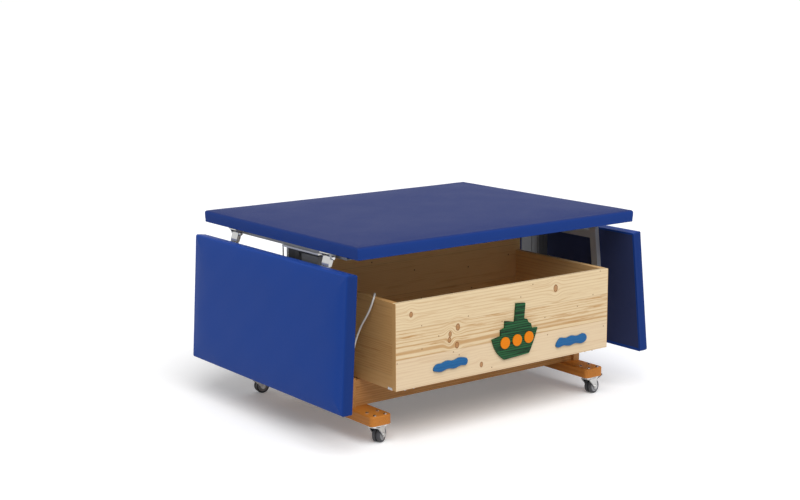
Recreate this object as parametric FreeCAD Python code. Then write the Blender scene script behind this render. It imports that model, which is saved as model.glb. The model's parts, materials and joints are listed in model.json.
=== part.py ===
# Low care and changing couch for children, adjustable in height, on castors.
# A blue leatherette top with two drop-down end leaves stands on two side lifting columns,
# and a pine toy drawer runs out of the stained wooden base between them.
# Millimetres. X runs along the couch, Y from its front to its back, Z up from the floor.
import FreeCAD, Part
import math
import os

os.makedirs("parts", exist_ok=True)

V = FreeCAD.Vector

# Driving dimensions, from the floor up
castor_height = 68.0
foot_height = 32.0
base_board_height = 100.0
column_height = 460.0
column_standout = 43.0
head_plate_thickness = 6.0
top_rail_height = 20.0
top_thickness = 42.0

# Driving dimensions in plan
base_width = 1032.0
column_thickness = 50.0
end_reach = 34.0
top_depth = 956.0
leaf_length = 443.0
leaf_thickness = 40.0
left_hang_angle = 86.6
right_hang_angle = 83.6
lift_travel = 300.0
drawer_travel = 300.0

# Clearances and the overrun that all cuts share
seat_clearance = 0.3
plate_clearance = 0.5
running_clearance = 0.05
leaf_gap = 5.0
overrun = 2.0

# Upholstery
board_thickness = 12.0
pad_wall = 9.0
pad_corner = 6.0
pad_edge_round = 12.0
pad_crown = 8.0
pad_tuck = 2.5
pad_tuck_height = 7.0
top_crown_reach = 230.0
leaf_crown_reach = 110.0
round_angle_shares = (0.0, 0.34, 0.68, 1.0)
crown_shares = ((0.16, 0.42), (0.45, 0.8), (1.0, 1.0))

# Top frame
rail_width = 40.0
rail_length = 714.0
rail_wall = 2.0
cross_rail_width = 30.0
cross_rail_spacing = 400.0
head_plate_length = 217.0
head_plate_back = 32.0
gearbox_height = 42.0
gearbox_length = 41.0
gearbox_inset = 2.0
motor_height = 36.0
motor_length = 99.0
motor_round = 4.0
motor_bolt_diameter = 16.0
motor_bolt_height = 4.0
motor_bolt_offset = 26.0
motor_bolt_drop = 12.0
stirrup_diameter = 5.0
stirrup_depth = 26.0
stirrup_height = 36.0

# Lifting columns
column_depth = 94.0
column_centre_y = -20.0
column_wall = 3.0
column_corner = 4.0
column_groove_depth = 1.2
wide_groove_width = 13.0
wide_groove_offset = 24.0
narrow_groove_width = 2.5
inner_wall = 2.5
inner_depth = 43.5
inner_foot_gap = 20.0

# Hinges of the leaves
pivot_inset = 21.5
pivot_drop = 17.5
hinge_spacing = 570.0
hinge_plate_thickness = 3.0
hinge_plate_inset = 2.0
hinge_plate_gap = 1.0
ear_thickness = 3.5
ear_round = 7.5
ear_foot_reach = 15.0
lug_width = 40.0
lug_round = 7.5
lug_rise = 12.5
lug_drop = 1.5
lug_reach = 28.5
pin_diameter = 8.0
pin_head_diameter = 13.0
pin_head_height = 6.0

# Leaf frames
arm_width = 30.0
arm_thickness = 18.0
arm_length = 365.0
arm_wall = 1.5
leaf_rail_width = 30.0
leaf_rail_offset = 10.0

# Wooden base
side_board_thickness = 28.0
foot_width = 83.0
foot_length = 810.0
foot_corner = 16.0
foot_edge_round = 4.0
side_board_length = 558.0
rail_setback = 12.0
base_rail_thickness = 28.0
base_rail_height = 90.0
bearer_width = 55.0
bearer_thickness = 28.0
tie_depth = 23.0
tie_height = 25.0
tie_wall = 2.0
buffer_diameter = 16.0
buffer_length = 5.7
buffer_inset = 86.0

# Drawer
drawer_side_clearance = 22.0
drawer_rail_gap = 3.0
slide_height = 13.0
drawer_height = 285.0
drawer_back_height = 379.0
drawer_wall = 20.0
drawer_front_thickness = 18.0
drawer_floor_thickness = 10.0
drawer_depth = 487.0
drawer_edge_round = 2.0
corner_plate_length = 23.0
corner_plate_height = 8.0
corner_plate_thickness = 1.5

# Drawer slides, three nested channels laid flat
slide_width = 45.0
slide_inset = 68.5
slide_wall = 1.5
slide_gap = 0.5
slide_lip = 9.0
mid_slide_length = 480.0
mid_slide_start = 92.0
slide_notch_margin = 3.0

# Ship, portholes and waves on the drawer front
ship_length = 201.0
ship_height = 187.0
ship_centre_x = 29.5
ship_rise = 33.0
applique_thickness = 6.0
porthole_diameter = 40.0
porthole_thickness = 3.0
porthole_shares = ((0.275, 0.31), (0.54, 0.32), (0.8, 0.335))
wave_length = 150.0
wave_height = 38.0
wave_rise = 34.0
left_wave_x = -255.0
right_wave_x = 294.0
ship_shares = (
    ((0.186, 0.447),),
    ((0.182, 0.553),),
    ((0.27, 0.58),),
    ((0.279, 0.71),),
    ((0.488, 0.666),),
    ((0.517, 1.0),),
    ((0.724, 0.979),),
    ((0.7, 0.69),),
    ((0.766, 0.675),),
    ((0.797, 0.613),),
    ((0.856, 0.577),),
    ((0.876, 0.492),),
    ((1.0, 0.486),),
    ((0.925, 0.27), (0.815, 0.037)),
    ((0.27, 0.0),),
    ((0.1, 0.17), (0.0, 0.41)),
)
ship_start_share = (0.0, 0.41)
wave_shares = (
    ((0.05, 0.62), (0.3, 1.0)),
    ((0.42, 0.93), (0.52, 0.8)),
    ((0.62, 0.94), (0.73, 0.97)),
    ((0.91, 0.86), (1.0, 0.48)),
    ((0.98, 0.2), (0.92, 0.1)),
    ((0.72, 0.2), (0.5, 0.12)),
    ((0.38, 0.3), (0.3, 0.28)),
    ((0.2, 0.06), (0.1, 0.0)),
    ((0.03, 0.02), (0.0, 0.12)),
)
wave_start_share = (0.0, 0.12)

# Castors
castor_plate_size = 60.0
castor_plate_thickness = 2.5
castor_hole_spacing = 42.0
castor_bolt_diameter = 6.0
castor_bolt_head_diameter = 12.0
castor_bolt_head_height = 4.0
castor_nut_height = 5.0
castor_inset = 33.0
wheel_diameter = 50.0
wheel_width = 30.0
tread_groove_width = 6.0
tread_groove_depth = 5.0
tread_round = 3.0
hub_diameter = 24.0
hub_recess = 2.0
axle_diameter = 8.0
axle_head_diameter = 13.0
axle_head_height = 3.0
trail = 20.0
fork_wall = 2.5
fork_side_gap = 0.75
fork_crown_radius = 18.0
fork_crown_reach = 26.0
fork_front_reach = 18.0
fork_rim_width = 2.4
fork_rim_height = 1.5
fork_axle_round = 9.0
race_radius = 20.0
race_height = 8.0
kingpin_diameter = 10.0
kingpin_head_diameter = 16.0
kingpin_head_height = 2.0
pedal_pivot_reach = 31.0
pedal_pivot_height = 54.0
pedal_pin_diameter = 5.0
pedal_length = 31.0
pedal_width = 34.0
pedal_thickness = 4.0
pedal_rise = 6.0
pedal_barrel_diameter = 9.0
front_left_castor_angle = 28.0
front_right_castor_angle = 10.0
rear_left_castor_angle = -10.0
rear_right_castor_angle = 5.0

# Control box and mains lead
control_length = 110.0
control_height = 70.0
control_thickness = 44.0
control_gap = 23.0
control_rise = 15.0
control_round = 5.0
gland_diameter = 18.0
gland_flange_height = 4.0
gland_neck_diameter = 13.0
gland_neck_height = 10.0
gland_offset = 22.0
gland_rise = 50.0
cord_diameter = 6.5
cord_arc_share = 0.45
coil_radius = 40.0
coil_pitch = 7.2
coil_half_turns = 5
coil_centre_x = -345.0
coil_centre_y = -419.0
coil_end_length = 6.5
coil_tail_length = 13.0
plug_relief_length = 18.0
plug_relief_diameter = 12.0
plug_length = 34.0
plug_width = 24.0
plug_round = 5.0
plug_pin_diameter = 4.0
plug_pin_length = 19.0
plug_pin_spacing = 19.0

# Levels that follow from the driving dimensions
foot_top = castor_height + foot_height
board_top = foot_top + base_board_height
column_top = foot_top + column_height
head_bottom = column_top + column_standout
head_top = head_bottom + head_plate_thickness
rail_top = head_top + top_rail_height
top_edge = rail_top + top_thickness
leaf_under = top_edge - leaf_thickness
pivot_z = rail_top - pivot_drop
base_rail_top = foot_top + base_rail_height

# Places in plan that follow from them
board_outer = base_width / 2
board_inner = board_outer - side_board_thickness
column_outer = board_outer + column_thickness
bed_end = column_outer + end_reach
pivot_x = bed_end - pivot_inset
leaf_start = bed_end + leaf_gap
rail_centre_x = board_outer + column_thickness / 2
rail_outer = rail_centre_x + rail_width / 2
rail_inner = rail_centre_x - rail_width / 2
column_front = column_centre_y - column_depth / 2
column_back = column_centre_y + column_depth / 2
side_board_front = column_centre_y - side_board_length / 2
side_board_back = column_centre_y + side_board_length / 2
front_rail_front = side_board_front + rail_setback
front_rail_back = front_rail_front + base_rail_thickness
rear_rail_back = side_board_back
rear_rail_front = rear_rail_back - base_rail_thickness
foot_front = column_centre_y - foot_length / 2
foot_back = column_centre_y + foot_length / 2
tie_front = column_back - tie_depth
drawer_half = board_inner - drawer_side_clearance
drawer_back_face = tie_front - buffer_length - seat_clearance
drawer_front_face = drawer_back_face - drawer_depth
drawer_bottom = base_rail_top + drawer_rail_gap
slide_bottom = drawer_bottom - slide_height
slide_x = drawer_half - slide_inset
buffer_x = drawer_half - buffer_inset
castor_x = board_outer - foot_width / 2
castor_front_y = foot_front + castor_inset
castor_rear_y = foot_back - castor_inset
plate_bottom = castor_height - castor_plate_thickness
cord_radius = cord_diameter / 2
cord_floor = drawer_bottom + drawer_floor_thickness + seat_clearance + cord_radius

# Free route of the mains lead, from the gland to the first loop of its coil, chosen by hand
cord_route = [
    (-538, -214, 165),
    (-538, -250, 165),
    (-535, -288, 186),
    (-527, -310, 230),
    (-515, -319, 284),
    (-500, -322, 343),
    (-492, -343, 390),
    (-483, -371, 434),
    (-474, -388, 487),
    (-438, -340, 487),
    (-430, -336, 440),
    (-427, -346, 394),
    (-429, -366, 348),
    (-424, -392, 303),
    (-426, -418, 262),
    (-420, -444, 224),
    (-386, -459, 206.55),
    (-351.5, -459, 206.55),
]


def block(x0, x1, y0, y1, z0, z1):
    """A box between two corners, given in any order."""
    xs, ys, zs = sorted((x0, x1)), sorted((y0, y1)), sorted((z0, z1))
    return Part.makeBox(xs[1] - xs[0], ys[1] - ys[0], zs[1] - zs[0], V(xs[0], ys[0], zs[0]))


def join(shapes):
    """One solid out of pieces that overlap or share faces."""
    return shapes[0].multiFuse(shapes[1:]).removeSplitter()


def mirrored(shape):
    """The same piece on the other side of the couch."""
    return shape.mirror(V(0, 0, 0), V(1, 0, 0))


def both_sides(shape):
    """A piece and its mirror image, kept as two solids."""
    return Part.makeCompound([shape, mirrored(shape)])


def moved(shape, x, y, z):
    """A copy of a shape, shifted."""
    copy = shape.copy()
    copy.translate(V(x, y, z))
    return copy


def side_profile(points, y0, y1):
    """A polygon in the XZ plane, drawn out along Y."""
    wire = Part.makePolygon([V(x, y0, z) for x, z in points + points[:1]])
    return Part.Face(wire).extrude(V(0, y1 - y0, 0))


def end_profile(points, x0, x1):
    """A polygon in the YZ plane, drawn out along X."""
    wire = Part.makePolygon([V(x0, y, z) for y, z in points + points[:1]])
    return Part.Face(wire).extrude(V(x1 - x0, 0, 0))


def revolved(points, axis_point, axis):
    """A closed profile turned once round an axis."""
    wire = Part.makePolygon(points + points[:1])
    return Part.Face(wire).revolve(axis_point, axis, 360)


def tube_along_y(x0, x1, y0, y1, z0, z1, wall):
    """A rectangular steel tube, open at its ends."""
    hole = block(x0 + wall, x1 - wall, y0 - overrun, y1 + overrun, z0 + wall, z1 - wall)
    return block(x0, x1, y0, y1, z0, z1).cut(hole)


def tube_along_x(x0, x1, y0, y1, z0, z1, wall):
    """A rectangular steel tube, open at its ends."""
    hole = block(x0 - overrun, x1 + overrun, y0 + wall, y1 - wall, z0 + wall, z1 - wall)
    return block(x0, x1, y0, y1, z0, z1).cut(hole)


def rounded_wire(length, depth, corner, z):
    """A rectangle with round corners, of four lines and four quarter arcs."""
    half_x, half_y = length / 2, depth / 2
    bend = corner * (1 - math.sqrt(0.5))
    edges = []
    for sx, sy in ((1, 1), (-1, 1), (-1, -1), (1, -1)):
        on_side = V(sx * half_x, sy * (half_y - corner), z)
        on_end = V(sx * (half_x - corner), sy * half_y, z)
        middle = V(sx * (half_x - bend), sy * (half_y - bend), z)
        first, last = (on_side, on_end) if sx == sy else (on_end, on_side)
        edges.append((first, middle, last))
    parts_of_wire = []
    for place, (first, middle, last) in enumerate(edges):
        parts_of_wire.append(Part.Arc(first, middle, last).toShape())
        parts_of_wire.append(Part.LineSegment(last, edges[(place + 1) % len(edges)][0]).toShape())
    return Part.Wire(parts_of_wire)


def cushion(length, depth, thickness, crown_reach):
    """An upholstered pad: drawn in at its foot, round at its top edge, crowned to a flat middle."""
    sections = [(pad_tuck, 0), (0, pad_tuck_height)]
    for share in round_angle_shares:
        angle = share * math.pi / 2
        inset = pad_edge_round * (1 - math.cos(angle))
        sections.append((inset, thickness - pad_edge_round + pad_edge_round * math.sin(angle)))
    for reach_share, rise_share in crown_shares:
        inset = pad_edge_round + crown_reach * reach_share
        sections.append((inset, thickness + pad_crown * rise_share))
    wires = [rounded_wire(length - 2 * i, depth - 2 * i, pad_corner, z) for i, z in sections]
    return Part.makeLoft(wires, True, True, False)


def upholstered(length, depth, thickness, crown_reach):
    """A pad with the pocket that its board fills, and the board, both centred on the origin."""
    half_x, half_y = length / 2 - pad_wall, depth / 2 - pad_wall
    board = block(-half_x, half_x, -half_y, half_y, 0, board_thickness)
    wide_x, wide_y = half_x + seat_clearance, half_y + seat_clearance
    pocket_top = board_thickness + seat_clearance
    pocket = block(-wide_x, wide_x, -wide_y, wide_y, -overrun, pocket_top)
    return cushion(length, depth, thickness, crown_reach).cut(pocket), board


def make_top():
    """The fixed middle of the couch top."""
    pad, board = upholstered(2 * bed_end, top_depth, top_thickness, top_crown_reach)
    return {"top_pad": moved(pad, 0, 0, rail_top), "top_board": moved(board, 0, 0, rail_top)}


def hinge_lug(y):
    """The zinc knuckle of a leaf, from the pin to the end of the leaf's arm."""
    y0, y1 = y - lug_width / 2, y + lug_width / 2
    end_x = pivot_x + lug_reach
    points = [
        (pivot_x, pivot_z + lug_round),
        (pivot_x + lug_reach * 2 / 3, pivot_z + lug_rise),
        (end_x, pivot_z + lug_rise),
        (end_x, pivot_z + lug_drop),
        (pivot_x, pivot_z - lug_round),
    ]
    knuckle = Part.makeCylinder(lug_round, lug_width, V(pivot_x, y0, pivot_z), V(0, 1, 0))
    bore_radius = pin_diameter / 2 + running_clearance
    bore_length = lug_width + 2 * overrun
    bore = Part.makeCylinder(bore_radius, bore_length, V(pivot_x, y0 - overrun, pivot_z), V(0, 1, 0))
    return join([knuckle, side_profile(points, y0, y1)]).cut(bore)


def raised_leaf():
    """The right leaf with its frame, level with the couch top."""
    centre_x = leaf_start + leaf_length / 2
    pad, board = upholstered(leaf_length, top_depth, leaf_thickness, leaf_crown_reach)
    arm_start = pivot_x + lug_reach
    arm_end = arm_start + arm_length
    arm_under = leaf_under - arm_thickness
    arms = []
    lugs = []
    for sign in (-1, 1):
        y = sign * hinge_spacing / 2
        y0, y1 = y - arm_width / 2, y + arm_width / 2
        arms.append(tube_along_x(arm_start, arm_end, y0, y1, arm_under, leaf_under, arm_wall))
        lugs.append(hinge_lug(y))
    rail_x = arm_start + leaf_rail_offset
    rail_half = hinge_spacing / 2 - arm_width / 2
    rail = tube_along_y(
        rail_x, rail_x + leaf_rail_width, -rail_half, rail_half, arm_under, leaf_under, arm_wall
    )
    return {
        "pad": moved(pad, centre_x, 0, leaf_under),
        "board": moved(board, centre_x, 0, leaf_under),
        "arms": Part.makeCompound(arms),
        "cross_rail": rail,
        "hinges": Part.makeCompound(lugs),
    }


def make_leaves():
    """Both leaves as they hang, each swung down about its pins and splayed a little."""
    made = {}
    for piece, shape in raised_leaf().items():
        right = shape.copy()
        right.rotate(V(pivot_x, 0, pivot_z), V(0, 1, 0), right_hang_angle)
        left = shape.copy()
        left.rotate(V(pivot_x, 0, pivot_z), V(0, 1, 0), left_hang_angle)
        made["leaf_right_" + piece] = right
        made["leaf_left_" + piece] = mirrored(left)
    return made


def hinge_bracket(y):
    """A zinc plate under the couch top with two ears round the pin."""
    x0, x1 = rail_outer + hinge_plate_gap, bed_end - hinge_plate_inset
    plate_under = rail_top - hinge_plate_thickness
    ear_inner = lug_width / 2 + plate_clearance
    ear_outer = ear_inner + ear_thickness
    plate = block(x0, x1, y - ear_outer, y + ear_outer, plate_under, rail_top)
    pieces = [plate]
    for side in (-1, 1):
        start, end = sorted((y + side * ear_inner, y + side * ear_outer))
        points = [
            (pivot_x - ear_foot_reach, plate_under),
            (pivot_x + ear_foot_reach, plate_under),
            (pivot_x + ear_round, pivot_z),
            (pivot_x - ear_round, pivot_z),
        ]
        pieces.append(side_profile(points, start, end))
        pieces.append(Part.makeCylinder(ear_round, ear_thickness, V(pivot_x, start, pivot_z), V(0, 1, 0)))
    bore_start = V(pivot_x, y - ear_outer - overrun, pivot_z)
    bore = Part.makeCylinder(pin_diameter / 2, 2 * (ear_outer + overrun), bore_start, V(0, 1, 0))
    return join(pieces).cut(bore)


def hinge_pin(y):
    """A steel pin with a round head at both ends, pressed into the ears."""
    ear_outer = lug_width / 2 + plate_clearance + ear_thickness
    head_end = ear_outer + pin_head_height
    shank, head = pin_diameter / 2, pin_head_diameter / 2
    profile = [(0, head_end), (head * 3 / 4, head_end), (head, ear_outer + pin_head_height / 2)]
    profile += [(head, ear_outer), (shank, ear_outer)]
    outline = profile + [(radius, -along) for radius, along in reversed(profile)]
    points = [V(pivot_x + radius, y + along, pivot_z) for radius, along in outline]
    return revolved(points, V(pivot_x, y, pivot_z), V(0, 1, 0))


def make_hinges():
    """The four brackets and pins that carry the leaves."""
    brackets = []
    pins = []
    for sign in (-1, 1):
        y = sign * hinge_spacing / 2
        brackets += [hinge_bracket(y), mirrored(hinge_bracket(y))]
        pins += [hinge_pin(y), mirrored(hinge_pin(y))]
    return {"hinge_brackets": Part.makeCompound(brackets), "hinge_pins": Part.makeCompound(pins)}


def lift_motor():
    """The gearbox in front of a column's head with its round bolt head, and the motor on it."""
    x0, x1 = board_outer + gearbox_inset, column_outer - gearbox_inset
    back = column_front + column_wall + plate_clearance
    front = back - gearbox_length
    gearbox = block(x0, x1, front, back, head_bottom - gearbox_height, head_bottom)
    gearbox = gearbox.makeFillet(motor_round, upright_edges(gearbox))
    low = head_bottom - gearbox_height
    motor = block(x0, x1, front - motor_length, front + motor_round, low, low + motor_height)
    along = [e for e in motor.Edges if abs(e.tangentAt(e.FirstParameter).y) > 0.9]
    motor = motor.makeFillet(motor_round, along)
    bolt_place = V(x1, back - motor_bolt_offset, head_bottom - motor_bolt_drop)
    bolt = Part.makeCylinder(motor_bolt_diameter / 2, motor_bolt_height, bolt_place, V(1, 0, 0))
    return join([gearbox, motor, bolt])


def head_plate():
    """The steel plate on a column's head, with a stirrup of round rod below it for the cables."""
    y1 = column_centre_y + head_plate_back
    plate = block(board_outer, column_outer, y1 - head_plate_length, y1, head_bottom, head_top)
    radius = stirrup_diameter / 2
    x = column_outer - radius
    back = y1 - radius
    front = back - stirrup_depth
    low = head_bottom - stirrup_height
    pieces = [plate]
    for y in (front, back):
        pieces.append(Part.makeCylinder(radius, stirrup_height + radius, V(x, y, low), V(0, 0, 1)))
        pieces.append(Part.makeSphere(radius, V(x, y, low)))
    pieces.append(Part.makeCylinder(radius, stirrup_depth, V(x, front, low), V(0, 1, 0)))
    return join(pieces)


def make_top_frame():
    """Steel rails under the couch top, the column heads with their stirrups, and the motors."""
    half_length = rail_length / 2
    rail = tube_along_y(
        rail_inner, rail_outer, -half_length, half_length, head_top, rail_top, rail_wall
    )
    cross = []
    for sign in (-1, 1):
        y = sign * cross_rail_spacing / 2
        y0, y1 = y - cross_rail_width / 2, y + cross_rail_width / 2
        cross.append(tube_along_x(-rail_inner, rail_inner, y0, y1, head_top, rail_top, rail_wall))
    return {
        "top_side_rails": both_sides(rail),
        "top_cross_rails": Part.makeCompound(cross),
        "head_plates": both_sides(head_plate()),
        "lift_motors": both_sides(lift_motor()),
    }


def upright_edges(shape):
    """The edges of a shape that stand along Z."""
    return [e for e in shape.Edges if abs(e.tangentAt(e.FirstParameter).z) > 0.9]


def outer_column():
    """The fixed lifting profile: a rounded tube with grooves down its wide and narrow faces."""
    x0, x1 = board_outer, column_outer
    body = block(x0, x1, column_front, column_back, foot_top, column_top)
    body = body.makeFillet(column_corner, upright_edges(body))
    bore = block(
        x0 + column_wall,
        x1 - column_wall,
        column_front + column_wall,
        column_back - column_wall,
        foot_top - overrun,
        column_top + overrun,
    )
    body = body.cut(bore)
    low, high = foot_top - overrun, column_top + overrun
    groove_y = column_front + wide_groove_offset
    groove_end = groove_y + wide_groove_width
    groove_x = rail_centre_x - narrow_groove_width / 2
    groove_x_end = rail_centre_x + narrow_groove_width / 2
    grooves = [
        block(x0 - overrun, x0 + column_groove_depth, groove_y, groove_end, low, high),
        block(x1 - column_groove_depth, x1 + overrun, groove_y, groove_end, low, high),
        block(
            groove_x, groove_x_end, column_front - overrun, column_front + column_groove_depth, low, high
        ),
        block(
            groove_x, groove_x_end, column_back - column_groove_depth, column_back + overrun, low, high
        ),
    ]
    for groove in grooves:
        body = body.cut(groove)
    return body


def inner_column():
    """The moving tube inside the fixed profile, up to the head plate."""
    step = column_wall + plate_clearance
    x0, x1 = board_outer + step, column_outer - step
    y0 = column_front + step
    y1 = y0 + inner_depth
    low = foot_top + inner_foot_gap
    print("tube left in its column at full lift", column_top - low - lift_travel)
    body = block(x0, x1, y0, y1, low, head_bottom)
    hole = block(
        x0 + inner_wall,
        x1 - inner_wall,
        y0 + inner_wall,
        y1 - inner_wall,
        low - overrun,
        head_bottom + overrun,
    )
    return body.cut(hole)


def make_columns():
    """Both lifting columns, each of a fixed profile and a moving tube."""
    fixed, moving = outer_column(), inner_column()
    return {
        "column_tube_right": fixed,
        "column_tube_left": mirrored(fixed),
        "column_inner_right": moving,
        "column_inner_left": mirrored(moving),
    }


def make_tie():
    """The tube that ties the columns, with the rubber buffers that stop the closed drawer."""
    low = column_top - tie_height
    tie = tube_along_x(-board_outer, board_outer, tie_front, column_back, low, column_top, tie_wall)
    middle = column_top - tie_height / 2
    start = V(buffer_x, tie_front - buffer_length, middle)
    stop = Part.makeCylinder(buffer_diameter / 2, buffer_length, start, V(0, 1, 0))
    return {"cross_tie": tie, "tie_buffers": both_sides(stop)}


def foot_board():
    """The broad foot under a side board, bored for its castor bolts."""
    body = block(board_outer - foot_width, board_outer, foot_front, foot_back, castor_height, foot_top)
    body = body.makeFillet(foot_corner, upright_edges(body))
    top_edges = [e for e in body.Edges if e.BoundBox.ZMin > foot_top - seat_clearance]
    body = body.makeFillet(foot_edge_round, top_edges)
    for place in bolt_places():
        start = V(place[0], place[1], castor_height - overrun)
        hole_length = foot_height + 2 * overrun
        body = body.cut(Part.makeCylinder(castor_bolt_diameter / 2, hole_length, start, V(0, 0, 1)))
    return body


def bolt_places():
    """Where the castor bolts stand on the right foot."""
    half = castor_hole_spacing / 2
    places = []
    for y in (castor_front_y, castor_rear_y):
        for sx in (-1, 1):
            for sy in (-1, 1):
                places.append((castor_x + sx * half, y + sy * half))
    return places


def make_base():
    """The stained wooden base: feet, side boards, rails and the bearers of the slides."""
    side = block(board_inner, board_outer, side_board_front, side_board_back, foot_top, board_top)
    rail = block(-board_inner, board_inner, front_rail_front, front_rail_back, foot_top, base_rail_top)
    notch_half = slide_width / 2 + slide_notch_margin
    for sign in (-1, 1):
        x0, x1 = sign * slide_x - notch_half, sign * slide_x + notch_half
        notch = block(
            x0, x1, front_rail_front - overrun, front_rail_back + overrun,
            slide_bottom, base_rail_top + overrun,
        )
        rail = rail.cut(notch)
    rear = block(-board_inner, board_inner, rear_rail_front, rear_rail_back, foot_top, base_rail_top)
    bearer = block(
        slide_x - bearer_width / 2, slide_x + bearer_width / 2,
        front_rail_back, rear_rail_front, slide_bottom - bearer_thickness, slide_bottom,
    )
    foot = foot_board()
    return {
        "foot_right": foot,
        "foot_left": mirrored(foot),
        "side_board_right": side,
        "side_board_left": mirrored(side),
        "front_rail": rail,
        "rear_rail": rear,
        "slide_bearers": both_sides(bearer),
    }


def channel(width, wall, low, high, y0, y1, opens_up):
    """A pressed channel along Y, its back below or above its two lips."""
    body = block(slide_x - width / 2, slide_x + width / 2, y0, y1, low, high)
    inner_low = low + wall if opens_up else low - overrun
    inner_high = high + overrun if opens_up else high - wall
    hollow = block(
        slide_x - width / 2 + wall, slide_x + width / 2 - wall,
        y0 - overrun, y1 + overrun, inner_low, inner_high,
    )
    return body.cut(hollow)


def make_slides():
    """Two drawer slides of three nested channels each, and a zinc plate on each front corner."""
    step = slide_wall + slide_gap
    outer = channel(
        slide_width, slide_wall, slide_bottom, slide_bottom + slide_lip,
        front_rail_front, rear_rail_front, True,
    )
    mid_front = front_rail_front - mid_slide_start
    mid = channel(
        slide_width - 2 * step, slide_wall, slide_bottom + step, slide_bottom + step + slide_lip,
        mid_front, mid_front + mid_slide_length, True,
    )
    inner = channel(
        slide_width - 4 * step, slide_wall, slide_bottom + 2 * step, drawer_bottom,
        drawer_front_face + drawer_front_thickness, drawer_back_face - drawer_front_thickness, False,
    )
    held = mid_slide_length - mid_slide_start - drawer_travel / 2
    print("middle channel left in its slide when open", held)
    plate_front = drawer_front_face + drawer_front_thickness
    corner = block(
        drawer_half, drawer_half + corner_plate_thickness, plate_front, plate_front + corner_plate_length,
        drawer_bottom, drawer_bottom + corner_plate_height,
    )
    return {
        "slide_channels": both_sides(outer),
        "slide_mids": both_sides(mid),
        "drawer_rails": Part.makeCompound([inner, mirrored(inner), corner, mirrored(corner)]),
    }


def soft_edged(shape):
    """A board with its long top edges eased."""
    top = shape.BoundBox.ZMax
    edges = [e for e in shape.Edges if e.BoundBox.ZMin > top - drawer_edge_round / 2]
    return shape.makeFillet(drawer_edge_round, edges)


def make_drawer():
    """The pine box: front over the side ends, a taller back and a thin floor."""
    wall_front = drawer_front_face + drawer_front_thickness
    wall_back = drawer_back_face - drawer_wall
    top = drawer_bottom + drawer_height
    side = block(drawer_half - drawer_wall, drawer_half, wall_front, wall_back, drawer_bottom, top)
    front = block(-drawer_half, drawer_half, drawer_front_face, wall_front, drawer_bottom, top)
    back_top = drawer_bottom + drawer_back_height
    back = block(-drawer_half, drawer_half, wall_back, drawer_back_face, drawer_bottom, back_top)
    inner = drawer_half - drawer_wall
    floor_top = drawer_bottom + drawer_floor_thickness
    floor = block(-inner, inner, wall_front, wall_back, drawer_bottom, floor_top)
    return {
        "drawer_front": soft_edged(front),
        "drawer_side_right": side,
        "drawer_side_left": mirrored(side),
        "drawer_back": soft_edged(back),
        "drawer_floor": floor,
    }


def cutout(start_share, shares, x0, z0, length, height, face_y, thickness):
    """A sawn board of lines and arcs, its points given as shares of its length and height."""
    def place(share):
        return V(x0 + share[0] * length, face_y, z0 + share[1] * height)

    here = place(start_share)
    edges = []
    for step in shares:
        there = place(step[-1])
        if len(step) == 2:
            edges.append(Part.Arc(here, place(step[0]), there).toShape())
        else:
            edges.append(Part.LineSegment(here, there).toShape())
        here = there
    return Part.Face(Part.Wire(edges)).extrude(V(0, -thickness, 0))


def make_ship():
    """The painted ship with its portholes and the two waves beside it."""
    face = drawer_front_face
    x0 = ship_centre_x - ship_length / 2
    z0 = drawer_bottom + ship_rise
    ship = cutout(ship_start_share, ship_shares, x0, z0, ship_length, ship_height, face, applique_thickness)
    discs = []
    for u, v in porthole_shares:
        centre = V(x0 + u * ship_length, face - applique_thickness, z0 + v * ship_height)
        discs.append(Part.makeCylinder(porthole_diameter / 2, porthole_thickness, centre, V(0, -1, 0)))
    waves = []
    for centre_x in (left_wave_x, right_wave_x):
        start = centre_x - wave_length / 2
        rise = drawer_bottom + wave_rise
        waves.append(cutout(
            wave_start_share, wave_shares, start, rise, wave_length, wave_height, face, applique_thickness
        ))
    return {"ship": ship, "portholes": Part.makeCompound(discs), "waves": Part.makeCompound(waves)}


def castor_plate():
    """The fixed top plate of a castor with its kingpin, centred on the origin in plan."""
    half = castor_plate_size / 2
    plate = block(-half, half, -half, half, plate_bottom, castor_height)
    plate = plate.makeFillet(castor_bolt_diameter, upright_edges(plate))
    hole_place = castor_hole_spacing / 2
    for sx in (-1, 1):
        for sy in (-1, 1):
            start = V(sx * hole_place, sy * hole_place, plate_bottom - overrun)
            length = castor_plate_thickness + 2 * overrun
            plate = plate.cut(Part.makeCylinder(castor_bolt_diameter / 2, length, start, V(0, 0, 1)))
    crown_under = plate_bottom - plate_clearance - race_height - fork_wall
    head_top_z = crown_under - running_clearance
    head_low = head_top_z - kingpin_head_height
    shank, head = kingpin_diameter / 2, kingpin_head_diameter / 2
    points = [
        V(0, 0, plate_bottom), V(shank, 0, plate_bottom), V(shank, 0, head_top_z),
        V(head, 0, head_top_z), V(head, 0, head_low), V(0, 0, head_low),
    ]
    return join([plate, revolved(points, V(0, 0, 0), V(0, 0, 1))])


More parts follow.
